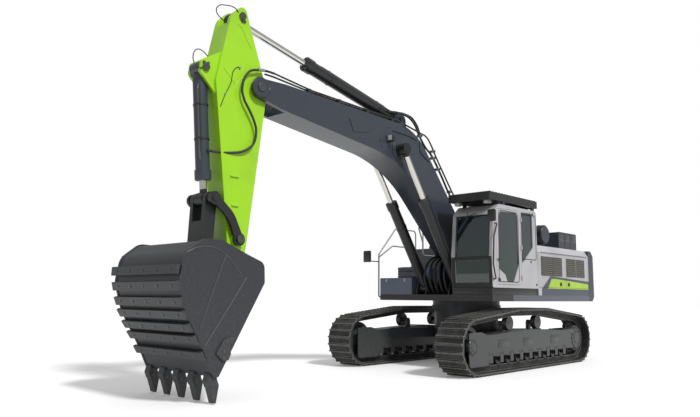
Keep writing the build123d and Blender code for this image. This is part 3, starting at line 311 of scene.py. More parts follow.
class Value:
    """A value in a node tree. Arithmetic on it adds Math nodes."""

    def __init__(self, graph, socket):
        self.graph = graph
        self.socket = socket

    def _math(self, operation, *values):
        return self.graph.node("ShaderNodeMath", {"operation": operation}, dict(enumerate(values)))

    def __add__(self, other):
        return self._math("ADD", self, other)

    __radd__ = __add__

    def __sub__(self, other):
        return self._math("SUBTRACT", self, other)

    def __rsub__(self, other):
        return self._math("SUBTRACT", other, self)

    def __mul__(self, other):
        return self._math("MULTIPLY", self, other)

    __rmul__ = __mul__

    def __gt__(self, other):
        return self._math("GREATER_THAN", self, other)

    def sine(self):
        return self._math("SINE", self)

    def size(self):
        return self._math("ABSOLUTE", self)

    def most(self, other):
        return self._math("MAXIMUM", self, other)

    def ramp(self, low, high):
        """0 at low and below, 1 at high and above, smooth in between."""
        inputs = {"Value": self, "From Min": low, "From Max": high}
        return self.graph.node("ShaderNodeMapRange", {"interpolation_type": "SMOOTHSTEP"}, inputs)


class Graph:
    """A node tree and the one way that nodes are added to it."""

    def __init__(self, tree):
        self.tree = tree

    def node(self, kind, settings=None, inputs=None, output=0):
        """Add a node: its settings first, then the values or links of its sockets."""
        new = self.tree.nodes.new(kind)
        for name, value in (settings or {}).items():
            setattr(new, name, value)
        for name, value in (inputs or {}).items():
            socket = new.inputs[name]
            for given in value if isinstance(value, list) else [value]:
                if isinstance(given, Value):
                    self.tree.links.new(given.socket, socket)
                else:
                    socket.default_value = given
        return Value(self, new.outputs[output]) if new.outputs else None


class Finish(Graph):
    """One material: its nodes, and the surface shader that they feed."""

    def __init__(self, name):
        self.material = bpy.data.materials.new(name)
        self.material.use_nodes = True
        super().__init__(self.material.node_tree)
        self.tree.nodes.clear()
        self.place = self.node("ShaderNodeTexCoord", output="Object")
        split = self.node("ShaderNodeSeparateXYZ", inputs={0: self.place}).socket.node.outputs
        self.x, self.y, self.z = (Value(self, split[name]) for name in "XYZ")

    def grain(self, scale, detail=3.0, stretch=(1.0, 1.0, 1.0)):
        """Soft noise, about 0 to 1, scale cells to the metre."""
        place = self.node("ShaderNodeMapping", inputs={"Vector": self.place, "Scale": stretch})
        return self.node("ShaderNodeTexNoise", inputs={"Vector": place, "Scale": scale, "Detail": detail})

    def mix(self, mask, first, second):
        """First colour where the mask is 0, second where it is 1."""
        inputs = {"Factor": mask, 6: first, 7: second}
        return self.node("ShaderNodeMix", {"data_type": "RGBA"}, inputs, output=2)

    def rounded_normal(self, radius):
        return self.node("ShaderNodeBevel", {"samples": 4}, {"Radius": radius})

    def edge(self, radius, reach=0.35):
        """1 on sharp edges, 0 on flat faces."""
        straight = self.node(
            "ShaderNodeVectorMath", {"operation": "DOT_PRODUCT"},
            {0: self.rounded_normal(radius), 1: self.node("ShaderNodeNewGeometry", output="Normal")}, "Value",
        )
        return (1.0 - straight).ramp(0.02, reach)

    def facing_up(self):
        """1 on faces that look up, 0 on upright ones and below."""
        normal = self.node("ShaderNodeNewGeometry", output="Normal")
        parts = self.node("ShaderNodeSeparateXYZ", inputs={0: normal}).socket.node.outputs
        return Value(self, parts["Z"]).ramp(0.2, 0.9)

    def relief(self, height, depth, normal=None, strength=1.0):
        inputs = {"Height": height, "Distance": depth, "Strength": strength}
        if normal is not None:
            inputs["Normal"] = normal
        return self.node("ShaderNodeBump", inputs=inputs)

    def surface(self, **sockets):
        """End the material in a surface shader; a socket's words are joined by underscores."""
        inputs = {name.replace("_", " "): value for name, value in sockets.items()}
        shader = self.node("ShaderNodeBsdfPrincipled", inputs=inputs)
        self.node("ShaderNodeOutputMaterial", inputs={"Surface": shader})
        return self.material


class Repeat(Graph):
    """A geometry node tree with named inputs, for shapes that repeat."""

    SOCKETS = {"float": "NodeSocketFloat", "int": "NodeSocketInt", "vector": "NodeSocketVector",
               "material": "NodeSocketMaterial"}

    def __init__(self, name, sizes):
        super().__init__(bpy.data.node_groups.new(name, "GeometryNodeTree"))
        face = self.tree.interface
        face.new_socket("Geometry", in_out="INPUT", socket_type="NodeSocketGeometry")
        for size, kind in sizes.items():
            face.new_socket(size, in_out="INPUT", socket_type=self.SOCKETS[kind])
        face.new_socket("Geometry", in_out="OUTPUT", socket_type="NodeSocketGeometry")
        given = self.node("NodeGroupInput").socket.node.outputs
        self.given = {socket.name: Value(self, socket) for socket in given if socket.name}

    def stand_on(self, points, shape, turn):
        """Stand a shape on every point, give all of it its finish, and end the tree."""
        inputs = {"Points": points, "Instance": shape, "Rotation": turn}
        stood = self.node("GeometryNodeInstanceOnPoints", inputs=inputs)
        whole = self.node("GeometryNodeRealizeInstances", inputs={0: stood})
        inputs = {"Geometry": whole, "Material": self.given["Material"]}
        dressed = self.node("GeometryNodeSetMaterial", inputs=inputs)
        self.node("NodeGroupOutput", inputs={0: dressed})

    def make(self, name, mesh, body, sharp=38.0, **sizes):
        """Run the tree on a mesh and keep the result as a plain piece on a body."""
        carrier = bpy.data.objects.new(name + "_carrier", mesh)
        bpy.context.scene.collection.objects.link(carrier)
        modifier = carrier.modifiers.new("repeat", "NODES")
        modifier.node_group = self.tree
        for item in self.tree.interface.items_tree:
            key = item.name.lower().replace(" ", "_")
            if item.in_out == "INPUT" and key in sizes:
                modifier[item.identifier] = sizes[key]
        view = bpy.context.evaluated_depsgraph_get()
        result = bpy.data.meshes.new_from_object(carrier.evaluated_get(view))
        carrier.modifiers.remove(modifier)
        bpy.data.objects.remove(carrier)
        return as_piece(name, result, sizes["material"], body, sharp)


def points_mesh(places):
    """Loose points with the way that each faces and heads, for things to stand on."""
    mesh = bpy.data.meshes.new("places")
    mesh.from_pydata([in_frame(place[0]) for place in places], [], [])
    for index, name in ((1, "facing"), (2, "heading")):
        layer = mesh.attributes.new(name, "FLOAT_VECTOR", "POINT")
        for row, place in zip(layer.data, places):
            row.vector = place[index] if len(place) > index else (1.0, 0.0, 0.0)
    return mesh


def standing(tree):
    """Rotation that stands a thing on its point's facing and turns it to its heading."""
    ways = {}
    for name in ("facing", "heading"):
        ways[name] = tree.node(
            "GeometryNodeInputNamedAttribute", {"data_type": "FLOAT_VECTOR"}, {"Name": name},
        )
    upright = tree.node("FunctionNodeAlignRotationToVector", {"axis": "Z"}, {"Vector": ways["facing"]})
    return tree.node(
        "FunctionNodeAlignRotationToVector", {"axis": "X", "pivot_axis": "Z"},
        {"Rotation": upright, "Vector": ways["heading"]},
    )


def bolt_tree():
    """Hexagon heads on their washers."""
    tree = Repeat("bolt_heads", {"Across": "float", "Height": "float", "Material": "material"})
    across, height = tree.given["Across"], tree.given["Height"]
    head = tree.node(
        "GeometryNodeMeshCylinder", None, {"Vertices": 6, "Radius": across * 0.577, "Depth": height})
    washer = tree.node(
        "GeometryNodeMeshCylinder", None, {"Vertices": 16, "Radius": across * 0.85, "Depth": height * 0.5})
    both = tree.node("GeometryNodeJoinGeometry", None, {"Geometry": [washer, head]})
    tree.stand_on(tree.given["Geometry"], both, standing(tree))
    return tree


def row_tree():
    """A row of bars, each a step from the last."""
    tree = Repeat("bar_row", {
        "Count": "int", "Step": "vector", "Bar": "vector", "Tilt": "vector", "Place": "vector",
        "Material": "material",
    })
    line = tree.node(
        "GeometryNodeMeshLine", None,
        {"Count": tree.given["Count"], "Start Location": tree.given["Place"], "Offset": tree.given["Step"]},
    )
    bar = tree.node("GeometryNodeMeshCube", None, {"Size": tree.given["Bar"]})
    tree.stand_on(line, bar, tree.given["Tilt"])
    return tree


# Finishes

def linear(red, green, blue):
    """Colour of the finish as it looks on a screen, 0 to 255, as a shader colour."""
    def channel(value):
        value = value / 255.0
        return value / 12.92 if value <= 0.04045 else ((value + 0.055) / 1.055) ** 2.4
    return (channel(red), channel(green), channel(blue), 1.0)


LIME = linear(166, 226, 24)
BAND_LIME = linear(176, 216, 58)
CHARCOAL = linear(50, 57, 68)
BLACK = linear(22, 24, 27)
PALE_GREY = linear(190, 190, 193)
SLATE = linear(66, 70, 84)
SLATE_BLUE = linear(98, 108, 132)
DUST = linear(128, 120, 104)
BARE_STEEL = linear(150, 146, 138)
STEP_GREY = linear(77, 90, 111)
TANK_GREY = linear(62, 69, 73)


def painted(name, colour, roughness=0.38, coat=0.25, dust=0.2, wear=0.3, edge_radius=0.006, colour_of=None):
    """Sprayed paint: slight orange peel, faint clouding, dust on ledges and low down, pale worn edges."""
    f = Finish(name)
    cloud = f.grain(1.7, 4.0)
    speck = f.grain(26.0, 5.0)
    base = colour_of(f) if colour_of else colour
    darker = f.mix(cloud.ramp(0.35, 0.75) * 0.16, base, linear(30, 32, 36))
    low = 1.0 - f.z.ramp(0.4, 3.2)
    dusty = (low * 0.6 + f.facing_up() * 0.3 + 0.1) * speck.ramp(0.42, 0.72) * dust
    coated = f.mix(dusty, darker, DUST)
    worn = f.edge(edge_radius) * speck.ramp(0.40, 0.60) * wear
    finished = f.mix(worn, coated, BARE_STEEL)
    peel = f.grain(420.0, 2.0)
    rough = dusty * 0.5 + speck * 0.10 + (roughness - 0.05)
    return f.surface(
        Base_Color=finished, Roughness=rough, Coat_Weight=coat, Coat_Roughness=0.18,
        Normal=f.relief(peel, 0.0004, f.rounded_normal(edge_radius), 0.35),
    )


def inside_outline(f, corners):
    """1 inside a convex outline drawn in the side view, corners in order, in metres from the swing axis."""
    mask = None
    for index, (x, z) in enumerate(corners):
        next_x, next_z = corners[(index + 1) % len(corners)]
        run = Vector((next_x - x, next_z - z)).normalized()
        inside = (f.z - z) * run.x - (f.x - (x + SWING.x)) * run.y
        step = inside.ramp(-0.001, 0.001)
        mask = step if mask is None else mask * step
    return mask


SLATE_BAND = [(-3.30, 1.40), (-0.60, 1.40), (-0.60, 1.64), (-1.02, 1.925), (-3.30, 1.835)]
LIME_BAND = [(-3.010, 1.652), (-0.895, 1.652), (-1.075, 1.865), (-1.25, 1.872), (-3.010, 1.780)]


def band_colour(f):
    """Pale grey panels with the lime band inside its slate border."""
    outside = f.y.size().ramp(1.40, 1.41)
    bordered = f.mix(inside_outline(f, SLATE_BAND) * outside, PALE_GREY, SLATE)
    return f.mix(inside_outline(f, LIME_BAND) * outside, bordered, BAND_LIME)


def deck_colour_and_tuck_shade(f):
    """Black deck with a grey skirt along its sides; the black on the edge tucked in below the skirt is
    painted shade.
    """
    # Only the skirt's outer face is grey; the tucked edge inward of it takes the black as painted shade.
    outside = f.y.size().ramp(1.53, 1.54) * (1.0 - f.x.ramp(SWING.x + 0.63, SWING.x + 0.65))
    return f.mix(outside, BLACK, linear(92, 96, 108))


def track_steel():
    """Rolled shoes: grey-brown skin, bright where the ground wears the edges."""
    f = Finish("track_steel")
    speck = f.grain(24.0, 5.0)
    cloud = f.grain(4.0, 4.0)
    skin = f.mix(cloud.ramp(0.35, 0.7), linear(32, 33, 34), linear(60, 60, 57))
    bright = f.edge(0.016, 0.12) * speck.ramp(0.25, 0.55)
    colour = f.mix(bright * 0.75, skin, linear(205, 203, 196))
    return f.surface(
        Base_Color=colour, Metallic=bright * 0.4 + 0.1, Roughness=0.62 - bright * 0.2,
        Normal=f.relief(speck, 0.0012, f.rounded_normal(0.006), 0.4),
    )


def chrome():
    f = Finish("rod_chrome")
    scratch = f.grain(60.0, 2.0, (1.0, 30.0, 1.0))
    bright = f.mix(scratch * 0.3, linear(214, 212, 206), linear(172, 170, 162))
    eye = 0.0
    for x, z in (ARM_HEAD, LINK_PIN, BOOM_ROD_PIN):
        across, up = f.x - (SWING.x + x * MM), f.z - z * MM
        away = f.node("ShaderNodeMath", {"operation": "SQRT"}, {0: across * across + up * up})
        eye = (1.0 - away.ramp(0.158, 0.162)) + eye
    return f.surface(
        Base_Color=f.mix(eye, bright, BLACK), Metallic=1.0 - eye, Roughness=scratch * 0.12 + 0.1 + eye * 0.3,
    )


def zinc(name="bright_zinc", colour=(176, 177, 174)):
    """Plated fittings, pins and plates."""
    f = Finish(name)
    speck = f.grain(90.0, 3.0)
    return f.surface(
        Base_Color=f.mix(speck.ramp(0.3, 0.7) * 0.4, linear(*colour), linear(116, 116, 112)), Metallic=0.7,
        Roughness=speck * 0.25 + 0.25, Normal=f.relief(speck, 0.0006, f.rounded_normal(0.002), 0.4),
    )


def rubber(name="hose_rubber", colour=(22, 23, 26), glow=0.45):
    """Hose cover with its cloth-wrapped grain."""
    f = Finish(name)
    wrap = (f.x * 900.0 + f.z * 700.0 + f.y * 800.0).sine()
    cloud = f.grain(8.0)
    return f.surface(
        Base_Color=f.mix(cloud * 0.6, linear(*colour), linear(44, 45, 48)), Roughness=cloud * 0.15 + glow,
        Normal=f.relief(wrap, 0.0005),
    )


def tinted_glass():
    f = Finish("tinted_glass")
    smear = f.grain(3.0, 3.0)
    low = f.z.ramp(2.0, 2.9)
    return f.surface(
        Base_Color=f.mix(low, linear(30, 78, 62), linear(22, 58, 72)), Roughness=smear * 0.03,
        Transmission_Weight=0.7, IOR=1.45, Coat_Weight=1.0, Coat_Roughness=0.02,
    )


def clear_lens(name, colour):
    """Pressed lens with fine ribs."""
    f = Finish(name)
    ribs = (f.y * 700.0).sine()
    return f.surface(
        Base_Color=f.mix(ribs.ramp(-1.0, 1.0) * 0.3, linear(*colour), linear(120, 120, 120)),
        Roughness=ribs * 0.04 + 0.12, Coat_Weight=1.0, Normal=f.relief(ribs, 0.0008),
    )


def seat_cloth():
    f = Finish("seat_cloth")
    weave = (f.x * 1500.0).sine() * (f.z * 1500.0).sine()
    return f.surface(
        Base_Color=f.mix(weave.ramp(-1.0, 1.0), linear(34, 36, 38), linear(58, 60, 62)), Roughness=0.9,
        Sheen_Weight=0.3, Normal=f.relief(weave, 0.0006),
    )


def dress(material, *names):
    for name in names:
        slots = NODES[name].data.materials
        slots.clear()
        slots.append(material)


def all_finishes():
    return {
        "lime": painted("lime_paint", LIME, 0.36, 0.35, 0.05, 0.1),
        "charcoal": painted("charcoal_paint", CHARCOAL, 0.40, 0.25, 0.12, 0.2),
        "black": painted("black_paint", BLACK, 0.45, 0.15, 0.15, 0.3),
        "frame": painted("frame_paint", linear(60, 62, 64), 0.45, 0.15, 0.2, 0.3),
        "under": painted("car_body_paint", linear(20, 26, 33), 0.5, 0.1, 0.2, 0.2),
        "bucket": painted("bucket_paint", linear(44, 47, 53), 0.52, 0.1, 0.15, 0.4),
        "wear": painted("wear_steel", linear(54, 56, 60), 0.5, 0.05, 0.2, 0.7, 0.008),
        "pale": painted("cab_paint", PALE_GREY, 0.36, 0.3, 0.08, 0.08),
        "side": painted("side_panel_paint", PALE_GREY, 0.36, 0.3, 0.1, 0.1, colour_of=band_colour),
        "deck": painted("deck_paint", BLACK, 0.45, 0.15, 0.15, 0.2, colour_of=deck_colour_and_tuck_shade),
        "slate": painted("slate_paint", linear(52, 56, 66), 0.42, 0.2, 0.1, 0.2),
        "tool": painted("tool_box_paint", SLATE_BLUE, 0.4, 0.25, 0.1, 0.15),
        "tank": painted("tank_paint", TANK_GREY, 0.4, 0.25, 0.12, 0.15),
        "step": painted("step_paint", STEP_GREY, 0.42, 0.2, 0.12, 0.15),
        "grille": painted("grille_paint", linear(112, 108, 98), 0.55, 0.05, 0.2, 0.1),
        "rail": painted("rail_paint", linear(150, 153, 158), 0.36, 0.3, 0.05, 0.1),
        "tracks": track_steel(),
        "chrome": chrome(),
        "zinc": zinc(),
        "pin": zinc("dark_pin", (84, 86, 88)),
        "hose": rubber(),
        "grease": rubber("grease_line", (30, 36, 62), 0.35),
        "seal": rubber("window_seal", (14, 15, 17), 0.5),
        "glass": tinted_glass(),
        "lens": clear_lens("lamp_lens", (222, 224, 226)),
        "red": clear_lens("tail_lens", (170, 24, 20)),
        "cloth": seat_cloth(),
    }


def dress_nodes(m):
    """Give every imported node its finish."""
    dress(m["lime"], "arm")
    dress(m["charcoal"], "boom", "bucket_cylinder_barrel", "counterweight")
    dress(
        m["black"], "valve_cover", "cab_guard", "console", "air_cleaner", "engine_block", "cooler_pack",
        "boom_lines", "swing_bearing_upper", "arm_cylinder_barrel", "boom_cylinder_barrels", "guide_links",
        "connecting_link",
    )
    dress(m["deck"], "revolving_frame")
    dress(m["slate"], "exhaust_box")
    dress(m["rail"], "handrails")
    dress(m["under"], "car_body", "swing_bearing_lower")
    dress(
        m["frame"], "left_track_frame", "right_track_frame", "left_rollers", "right_rollers", "left_idler",
        "right_idler", "left_sprocket", "right_sprocket",
    )
    dress(m["bucket"], "bucket")
    dress(m["wear"], "bucket_teeth")
    dress(m["tool"], "tool_box", "tool_box_lid")
    dress(m["tank"], "fuel_tank", "hydraulic_tank")
    dress(m["step"], "step_box")
    dress(m["side"], "engine_hood", "front_service_door", "rear_service_door", "right_service_door")
    dress(m["pale"], "cab_shell", "cab_door")
    dress(m["tracks"], "left_track", "right_track")
    dress(m["chrome"], "boom_cylinder_rods", "arm_cylinder_rod", "bucket_cylinder_rod")
    dress(m["glass"], "cab_glass", "door_glass")
    dress(m["cloth"], "operator_seat")


# Pieces

BOTH_SIDES = (-1.0, 1.0)
UP = (0.0, 0.0, 1.0)
GRILLE_HEIGHTS = (1935.0, 2345.0)
AIR_CLEANER = (-1300.0, 2885.0)
GUARD_RAIL_Y = -1640.0
TANK_RAIL_Y = -860.0
BUCKET_HOSE_Y = 268.0
CAB_SIDE_Y = 1544.0


def span(side, near, far):
    """Range in y between two distances from the machine's middle, on one side of it."""
    return sorted((side * near, side * far))


def around(middle, reach):
    """Range that reaches equally far both ways from its middle."""
    return (middle - reach, middle + reach)


def tubes(name, material, body, paths, radius, sides=8):
    """Piece of round tubes, one along each path."""
    work = Work()
    for path in paths:
        work.tube(path, radius, sides)
    work.done(name, material, body)


def boxes(name, material, body, ranges, edge=4.0):
    """Piece of boxes, each given by its ranges in x, y and z."""
    work = Work()
    for x, y, z in ranges:
        work.box(x, y, z, edge)
    work.done(name, material, body)


def bar_row(name, material, body, count, step, bar, place, tilt=0.0):
    """Row of bars: their number, step and size in metres, the first one's place, and a tilt in degrees."""
    ROWS.make(
        name, bpy.data.meshes.new("none"), body, material=material, count=count, step=step, bar=bar,
        tilt=(radians(tilt), 0.0, 0.0), place=in_frame(place),
    )


def pin_caps(m, name, body, pins, radius=62.0, depth=16.0):
    """Round caps on both ends of cross pins: (centre, y of the face it stands on)."""
    profile = [(0.0, radius), (depth + 2.0, radius), (depth + 6.0, radius - 4.0), (depth + 6.0, radius * 0.5),
               (depth, radius * 0.45), (depth, 4.0)]
    work = Work()
    for (x, z), y in pins:
        for side in BOTH_SIDES:
            work.stud(x, y - 6.0, z, side, profile)
    work.done(name, m["pin"], body)


def lock_plates(m, name, body, places):
    """Flat bars that stop the pins turning: (x range, z range, y of the face). Gives back their bolts."""
    work = Work()
    bolts = []
    for (x0, x1), (z0, z1), y in places:
        lies_flat = x1 - x0 > z1 - z0
        reach = (x1 - x0) / 3.2 if lies_flat else 0.0
        lift = 0.0 if lies_flat else (z1 - z0) / 3.2
        for side in BOTH_SIDES:
            work.box((x0, x1), span(side, y - 5.0, y + 12.0), (z0, z1), 3.0)
            for way in BOTH_SIDES:
                place = ((x0 + x1) / 2.0 + way * reach, side * (y + 14.0), (z0 + z1) / 2.0 + way * lift)
                bolts.append((place, (0.0, side, 0.0)))
    work.done(name, m["zinc"], body)
    return bolts


def arm_pieces(m, bolts):
    """Pin caps and locks, weld lines, grease lines, wire and lugs of the arm."""
    face = ARM_HALF_WIDTH
    pin_caps(m, "arm_pin_caps", "arm", [(ARM_HEAD, 224.0), (BUCKET_BASE_PIN, 180.0), (GUIDE_PIVOT, 317.0)])
    bolts["arm"] += lock_plates(m, "arm_pin_locks", "arm", [
        ((7185.0, 7300.0), (4900.0, 4930.0), 160.0), ((6566.0, 6637.0), (5744.0, 5779.0), 204.0),
    ])
    tubes("arm_weld_lines", m["lime"], "arm", [
        flowing(on_side(points, y)) for points in (
            [(6709, 5688), (6624, 5645), (6536, 5509), (6417, 5357)],
            [(6947, 4911), (6810, 4790), (6726, 4699)],
            [(6566, 4830), (6647, 4775), (6703, 4648), (6704, 4479)],
        ) for y in (-face, face)
    ], 8.0)
    tubes("arm_grease_lines", m["grease"], "arm", [flowing(points) for points in (
        [(6850, 120, 5680), (6960, 140, 5700), (7080, 170, 5750), (7110, 200, 5817), (7060, 218, 5876),
         (6960, 226, 5904), (6850, 224, 5925), (6760, 216, 5915), (6705, 207, 5880)],
        [(7262, 168, 4850), (7360, 182, 4800), (7450, 190, 4820), (7490, 192, 4920), (7470, 190, 5020),
         (7400, 180, 5080), (7300, 165, 5075), (7190, 140, 5025)],
    )], 8.0)
    wire = [(6640, 4980), (6690, 4983), (6772, 4889), (6807, 4700), (6908, 4484), (6983, 4285)]
    tubes("arm_wire", m["seal"], "arm", [flowing(on_side(wire, face + 6.0))], 6.0)
    clips = Work().box((6895.0, 6921.0), (face - 4.0, face + 14.0), (4490.0, 4516.0))
    clips.stud(6647.0, face - 4.0, 4983.0, 1.0, [(0.0, 18.0), (24.0, 18.0), (24.0, 4.0)], 16)
    clips.done("arm_line_clips", m["zinc"], "arm")
    boxes("arm_lugs", m["lime"], "arm", [
        (x, (face - 6.0, face + 22.0), around(z, 12.0))
        for x, z in (((6600.0, 6760.0), 3250.0), ((6590.0, 6720.0), 2800.0))
    ])


def front_hoses(m):
    """Hose from the boom's end to the bucket cylinder, free over each joint, and the pipes it comes from."""
    y = BUCKET_HOSE_Y
    upper = flowing([(5986, y, 5047), (6150, y, 5046), (6312, y, 5021), (6470, y, 4970), (6570, y, 4860),
                     (6616, y, 4740), (6627, y, 4591), (6575, y, 4450)])
    lower = flowing([(6575, y, 4450), (6460, y, 4300), (6370, y, 4150), (6332, y, 4007), (6379, y, 3804),
                     (6549, y - 20, 3661), (6785, y - 60, 3600), (7031, y - 110, 3585),
                     (7130, y - 140, 3594)])
    over_first_joint = ("boom", "arm", upper[0], upper[-1])
    over_second_joint = ("arm", "bucket_cylinder_barrel", lower[0], lower[-1])
    tubes("bucket_hose_upper", m["hose"], over_first_joint, [upper], 19.0, 14)
    tubes("bucket_hose_lower", m["hose"], over_second_joint, [lower], 19.0, 14)
    tubes("boom_end_fitting", m["zinc"], "boom", [on_side([(6205.0, 5044.0), (6330.0, 5024.0)], y)], 25.0, 12)
    pipes = []
    for y, drop in ((BUCKET_HOSE_Y, 0.0), (222.0, -40.0)):
        run = [(6150.0, y, 5046.0 + drop), (5986.0, y, 5047.0 + drop)]
        for along in (5560.0, 4300.0, 3250.0):
            run.append(boom_at_3d(along, y, top_height(along) + 62.0 + drop / 3.0))
        pipes.append(bent(run, 150.0))
    tubes("boom_ridge_pipes", m["black"], "boom", pipes, 15.0, 10)
    clamps = []
    for along in (5600.0, 4900.0, 4200.0, 3500.0):
        x, z = boom_at(along, top_height(along) + 36.0)
        clamps.append((around(x, 34.0), (196.0, 286.0), (z - 48.0, z + 44.0)))
    boxes("boom_ridge_clamps", m["black"], "boom", clamps, 8.0)


def boom_pieces(m, bolts):
    """Tip bosses, pin locks, doubler plates, pipes, hoses, clamps and lamps of the boom."""
    half = BOOM_HALF_WIDTH
    bosses = Work()
    for side in BOTH_SIDES:
        for (x, z), rim in ((BOOM_TIP, 168.0), (BOOM_ROD_PIN, 200.0)):
            boss = [(0.0, rim), (20.0, rim), (28.0, rim - 8.0), (28.0, 30.0)]
            bosses.stud(x, half - 4.0, z, side, boss, 48)
    bosses.done("boom_bosses", m["charcoal"], "boom")
    pin_caps(m, "boom_pin_caps", "boom", [(BOOM_TIP, half + 24.0), (BOOM_ROD_PIN, half + 24.0)], 72.0, 20.0)
    bolts["boom"] += lock_plates(m, "boom_pin_locks", "boom", [((6090.0, 6118.0), (4700.0, 4822.0), half)])
    doubler = Work()
    outline = [(4217.0, 4689.0, 40.0), (3827.0, 4831.0, 40.0), (3662.0, 4806.0, 50.0), (3559.0, 4688.0, 40.0),
               (3572.0, 4599.0, 40.0), (3724.0, 4491.0, 40.0), (4094.0, 4437.0, 40.0)]
    for side in BOTH_SIDES:
        doubler.plate(outline, *span(side, half - 6.0, half + 10.0))
    for x, z in ((3315.0, 4431.0), (3262.0, 4318.0), (2769.0, 4369.0)):
        for side in BOTH_SIDES:
            doubler.stud(x, half - 4.0, z, side, [(0.0, 38.0), (14.0, 38.0), (14.0, 12.0)], 24)
    doubler.done("boom_doublers", m["charcoal"], "boom")
    top_run = ((5900.0, 372.0), (4600.0, 960.0), (3150.0, 1490.0))
    tubes("boom_top_pipes", m["black"], "boom", [
        bent([boom_at_3d(along, y, height) for along, height in top_run], 400.0) for y in (-60.0, 60.0)
    ], 17.0, 10)
    bow = [(2926, 5103), (2700, 5115), (2469, 5146), (2202, 5127), (2051, 5044), (1960, 4948), (1899, 4825)]
    tubes("bend_hoses", m["hose"], "boom", [flowing(on_side(bow, y)) for y in (150.0, -150.0)], 25.0, 14)
    side_pipes = Work()
    side_pipes.tube(flowing(on_side(
        [(3065, 5039), (2787, 5081), (2426, 5066), (2203, 4943), (2084, 4778), (1871, 4552), (1621, 4384),
         (1351, 4089), (1109, 3783), (978, 3623)], 262.0)), 22.0, 12)
    side_pipes.tube(flowing(on_side(
        [(2597, 4860), (2124, 4785), (1879, 4736), (1693, 4559), (1568, 4388), (1053, 3784), (921, 3644)],
        318.0)), 17.0, 12)
    side_pipes.done("boom_side_pipes", m["hose"], "boom")
    tubes("boom_grease_lines", m["grease"], "boom", [flowing(on_side(points, half + 8.0)) for points in (
        [(2959, 4674), (2806, 4668), (2462, 4660), (2195, 4616)],
        [(2074, 4620), (2076, 4488), (2046, 4380), (1894, 4293), (1770, 4237)],
    )], 9.0)
    clamps = []
    for x, z in ((2084.0, 4730.0), (1636.0, 4478.0), (1638.0, 4333.0), (1465.0, 4120.0), (1027.0, 3696.0)):
        clamps.append((around(x, 34.0), (235.0, 345.0), around(z, 26.0)))
        bolts["boom"].append(((x, 347.0, z), (0.0, 1.0, 0.0)))
    boxes("boom_clamps", m["zinc"], "boom", clamps, 6.0)
    lamps, lenses = Work(), Work()
    x, z = boom_at(3466.0, 992.0)
    for side in BOTH_SIDES:
        lamps.box(around(x, 60.0), span(side, half + 8.0, half + 128.0), around(z, 60.0), 14.0)
        lamps.box(around(x, 20.0), span(side, half - 4.0, half + 16.0), (z - 80.0, z + 20.0), 6.0)
        lenses.box((x + 56.0, x + 66.0), span(side, half + 20.0, half + 116.0), around(z, 48.0), 6.0)
    lamps.done("boom_lamp_shells", m["black"], "boom")
    lenses.done("boom_lamp_lenses", m["lens"], "boom")


def top_height(along):
    """Height of the boom's top plate ahead of its bend."""
    (x0, z0), (x1, z1) = BOOM_TOP
    return z0 + (z1 - z0) * (along - x0) / (x1 - x0)


def boom_at_3d(along, y, height):
    x, z = boom_at(along, height)
    return (x, y, z)


def axis_of(base, tip):
    """Start and direction of a cylinder's axis, in the machine's middle plane."""
    start = Vector((base[0], 0.0, base[1]))
    return start, (Vector((tip[0], 0.0, tip[1])) - start).normalized()


def along_cylinder(base, tip, along, reach, turn):
    """Place beside a cylinder: along its axis, out from it, turned from its left side."""
    start, heading = axis_of(base, tip)
    across = Vector((-heading.z, 0.0, heading.x))
    left = Vector((0.0, 1.0, 0.0))
    out = cos(radians(turn)) * left + sin(radians(turn)) * across
    return start + heading * along + out * reach


def cylinder_dress(m, name, body, base, tip, y, length, radius, turn, bolts):
    """Steel pipe along a barrel, its clamps, and the ring of bolts at its gland."""
    shift = Vector((0.0, y, 0.0))
    pipe = [along_cylinder(base, tip, along, radius + lift, turn) + shift for along, lift in (
        (260.0, -4.0), (330.0, 34.0), (length - 420.0, 34.0), (length - 300.0, -4.0))]
    finish = m["pin"] if name == "bucket_cylinder" else m["black"]
    tubes(name + "_pipe", finish, body, [bent(pipe, 50.0)], 17.0, 12)
    heading = axis_of(base, tip)[1]
    start = Vector((base[0], y, base[1]))
    clasp = [(-14.0, radius - 3.0), (-14.0, radius + 7.0), (14.0, radius + 7.0), (14.0, radius - 3.0)]
    clamps = Work()
    for along in (560.0, length - 620.0):
        clamps.lathe(start + heading * along, heading, clasp, 40, closed=True)
        knob = along_cylinder(base, tip, along, radius + 30.0, turn) + shift
        clamps.lathe(knob - heading * 16.0, heading, [(0.0, 26.0), (32.0, 26.0)], 20)
    clamps.done(name + "_clamps", m["black"], body)
    for index in range(8):
        place = along_cylinder(base, tip, length + 1.0, radius - 18.0, index * 45.0 + 20.0) + shift
        bolts[body].append((tuple(place), tuple(heading)))


def cylinders(m, bolts):
    for side, name in ((-1.0, "right_boom_cylinder"), (1.0, "left_boom_cylinder")):
        cylinder_dress(
            m, name, "boom_cylinder_barrels", BOOM_CYLINDER_BASE, BOOM_ROD_PIN, side * BOOM_CYLINDER_Y,
            BOOM_BARREL_LENGTH, BOOM_BARREL_RADIUS, 90.0, bolts,
        )
    cylinder_dress(
        m, "arm_cylinder", "arm_cylinder_barrel", ARM_BASE_PIN, ARM_HEAD, 0.0, ARM_BARREL_LENGTH,
        ARM_BARREL_RADIUS, 100.0, bolts,
    )
    cylinder_dress(
        m, "bucket_cylinder", "bucket_cylinder_barrel", BUCKET_BASE_PIN, LINK_PIN, 0.0, BUCKET_BARREL_LENGTH,
        BUCKET_BARREL_RADIUS, 50.0, bolts,
    )


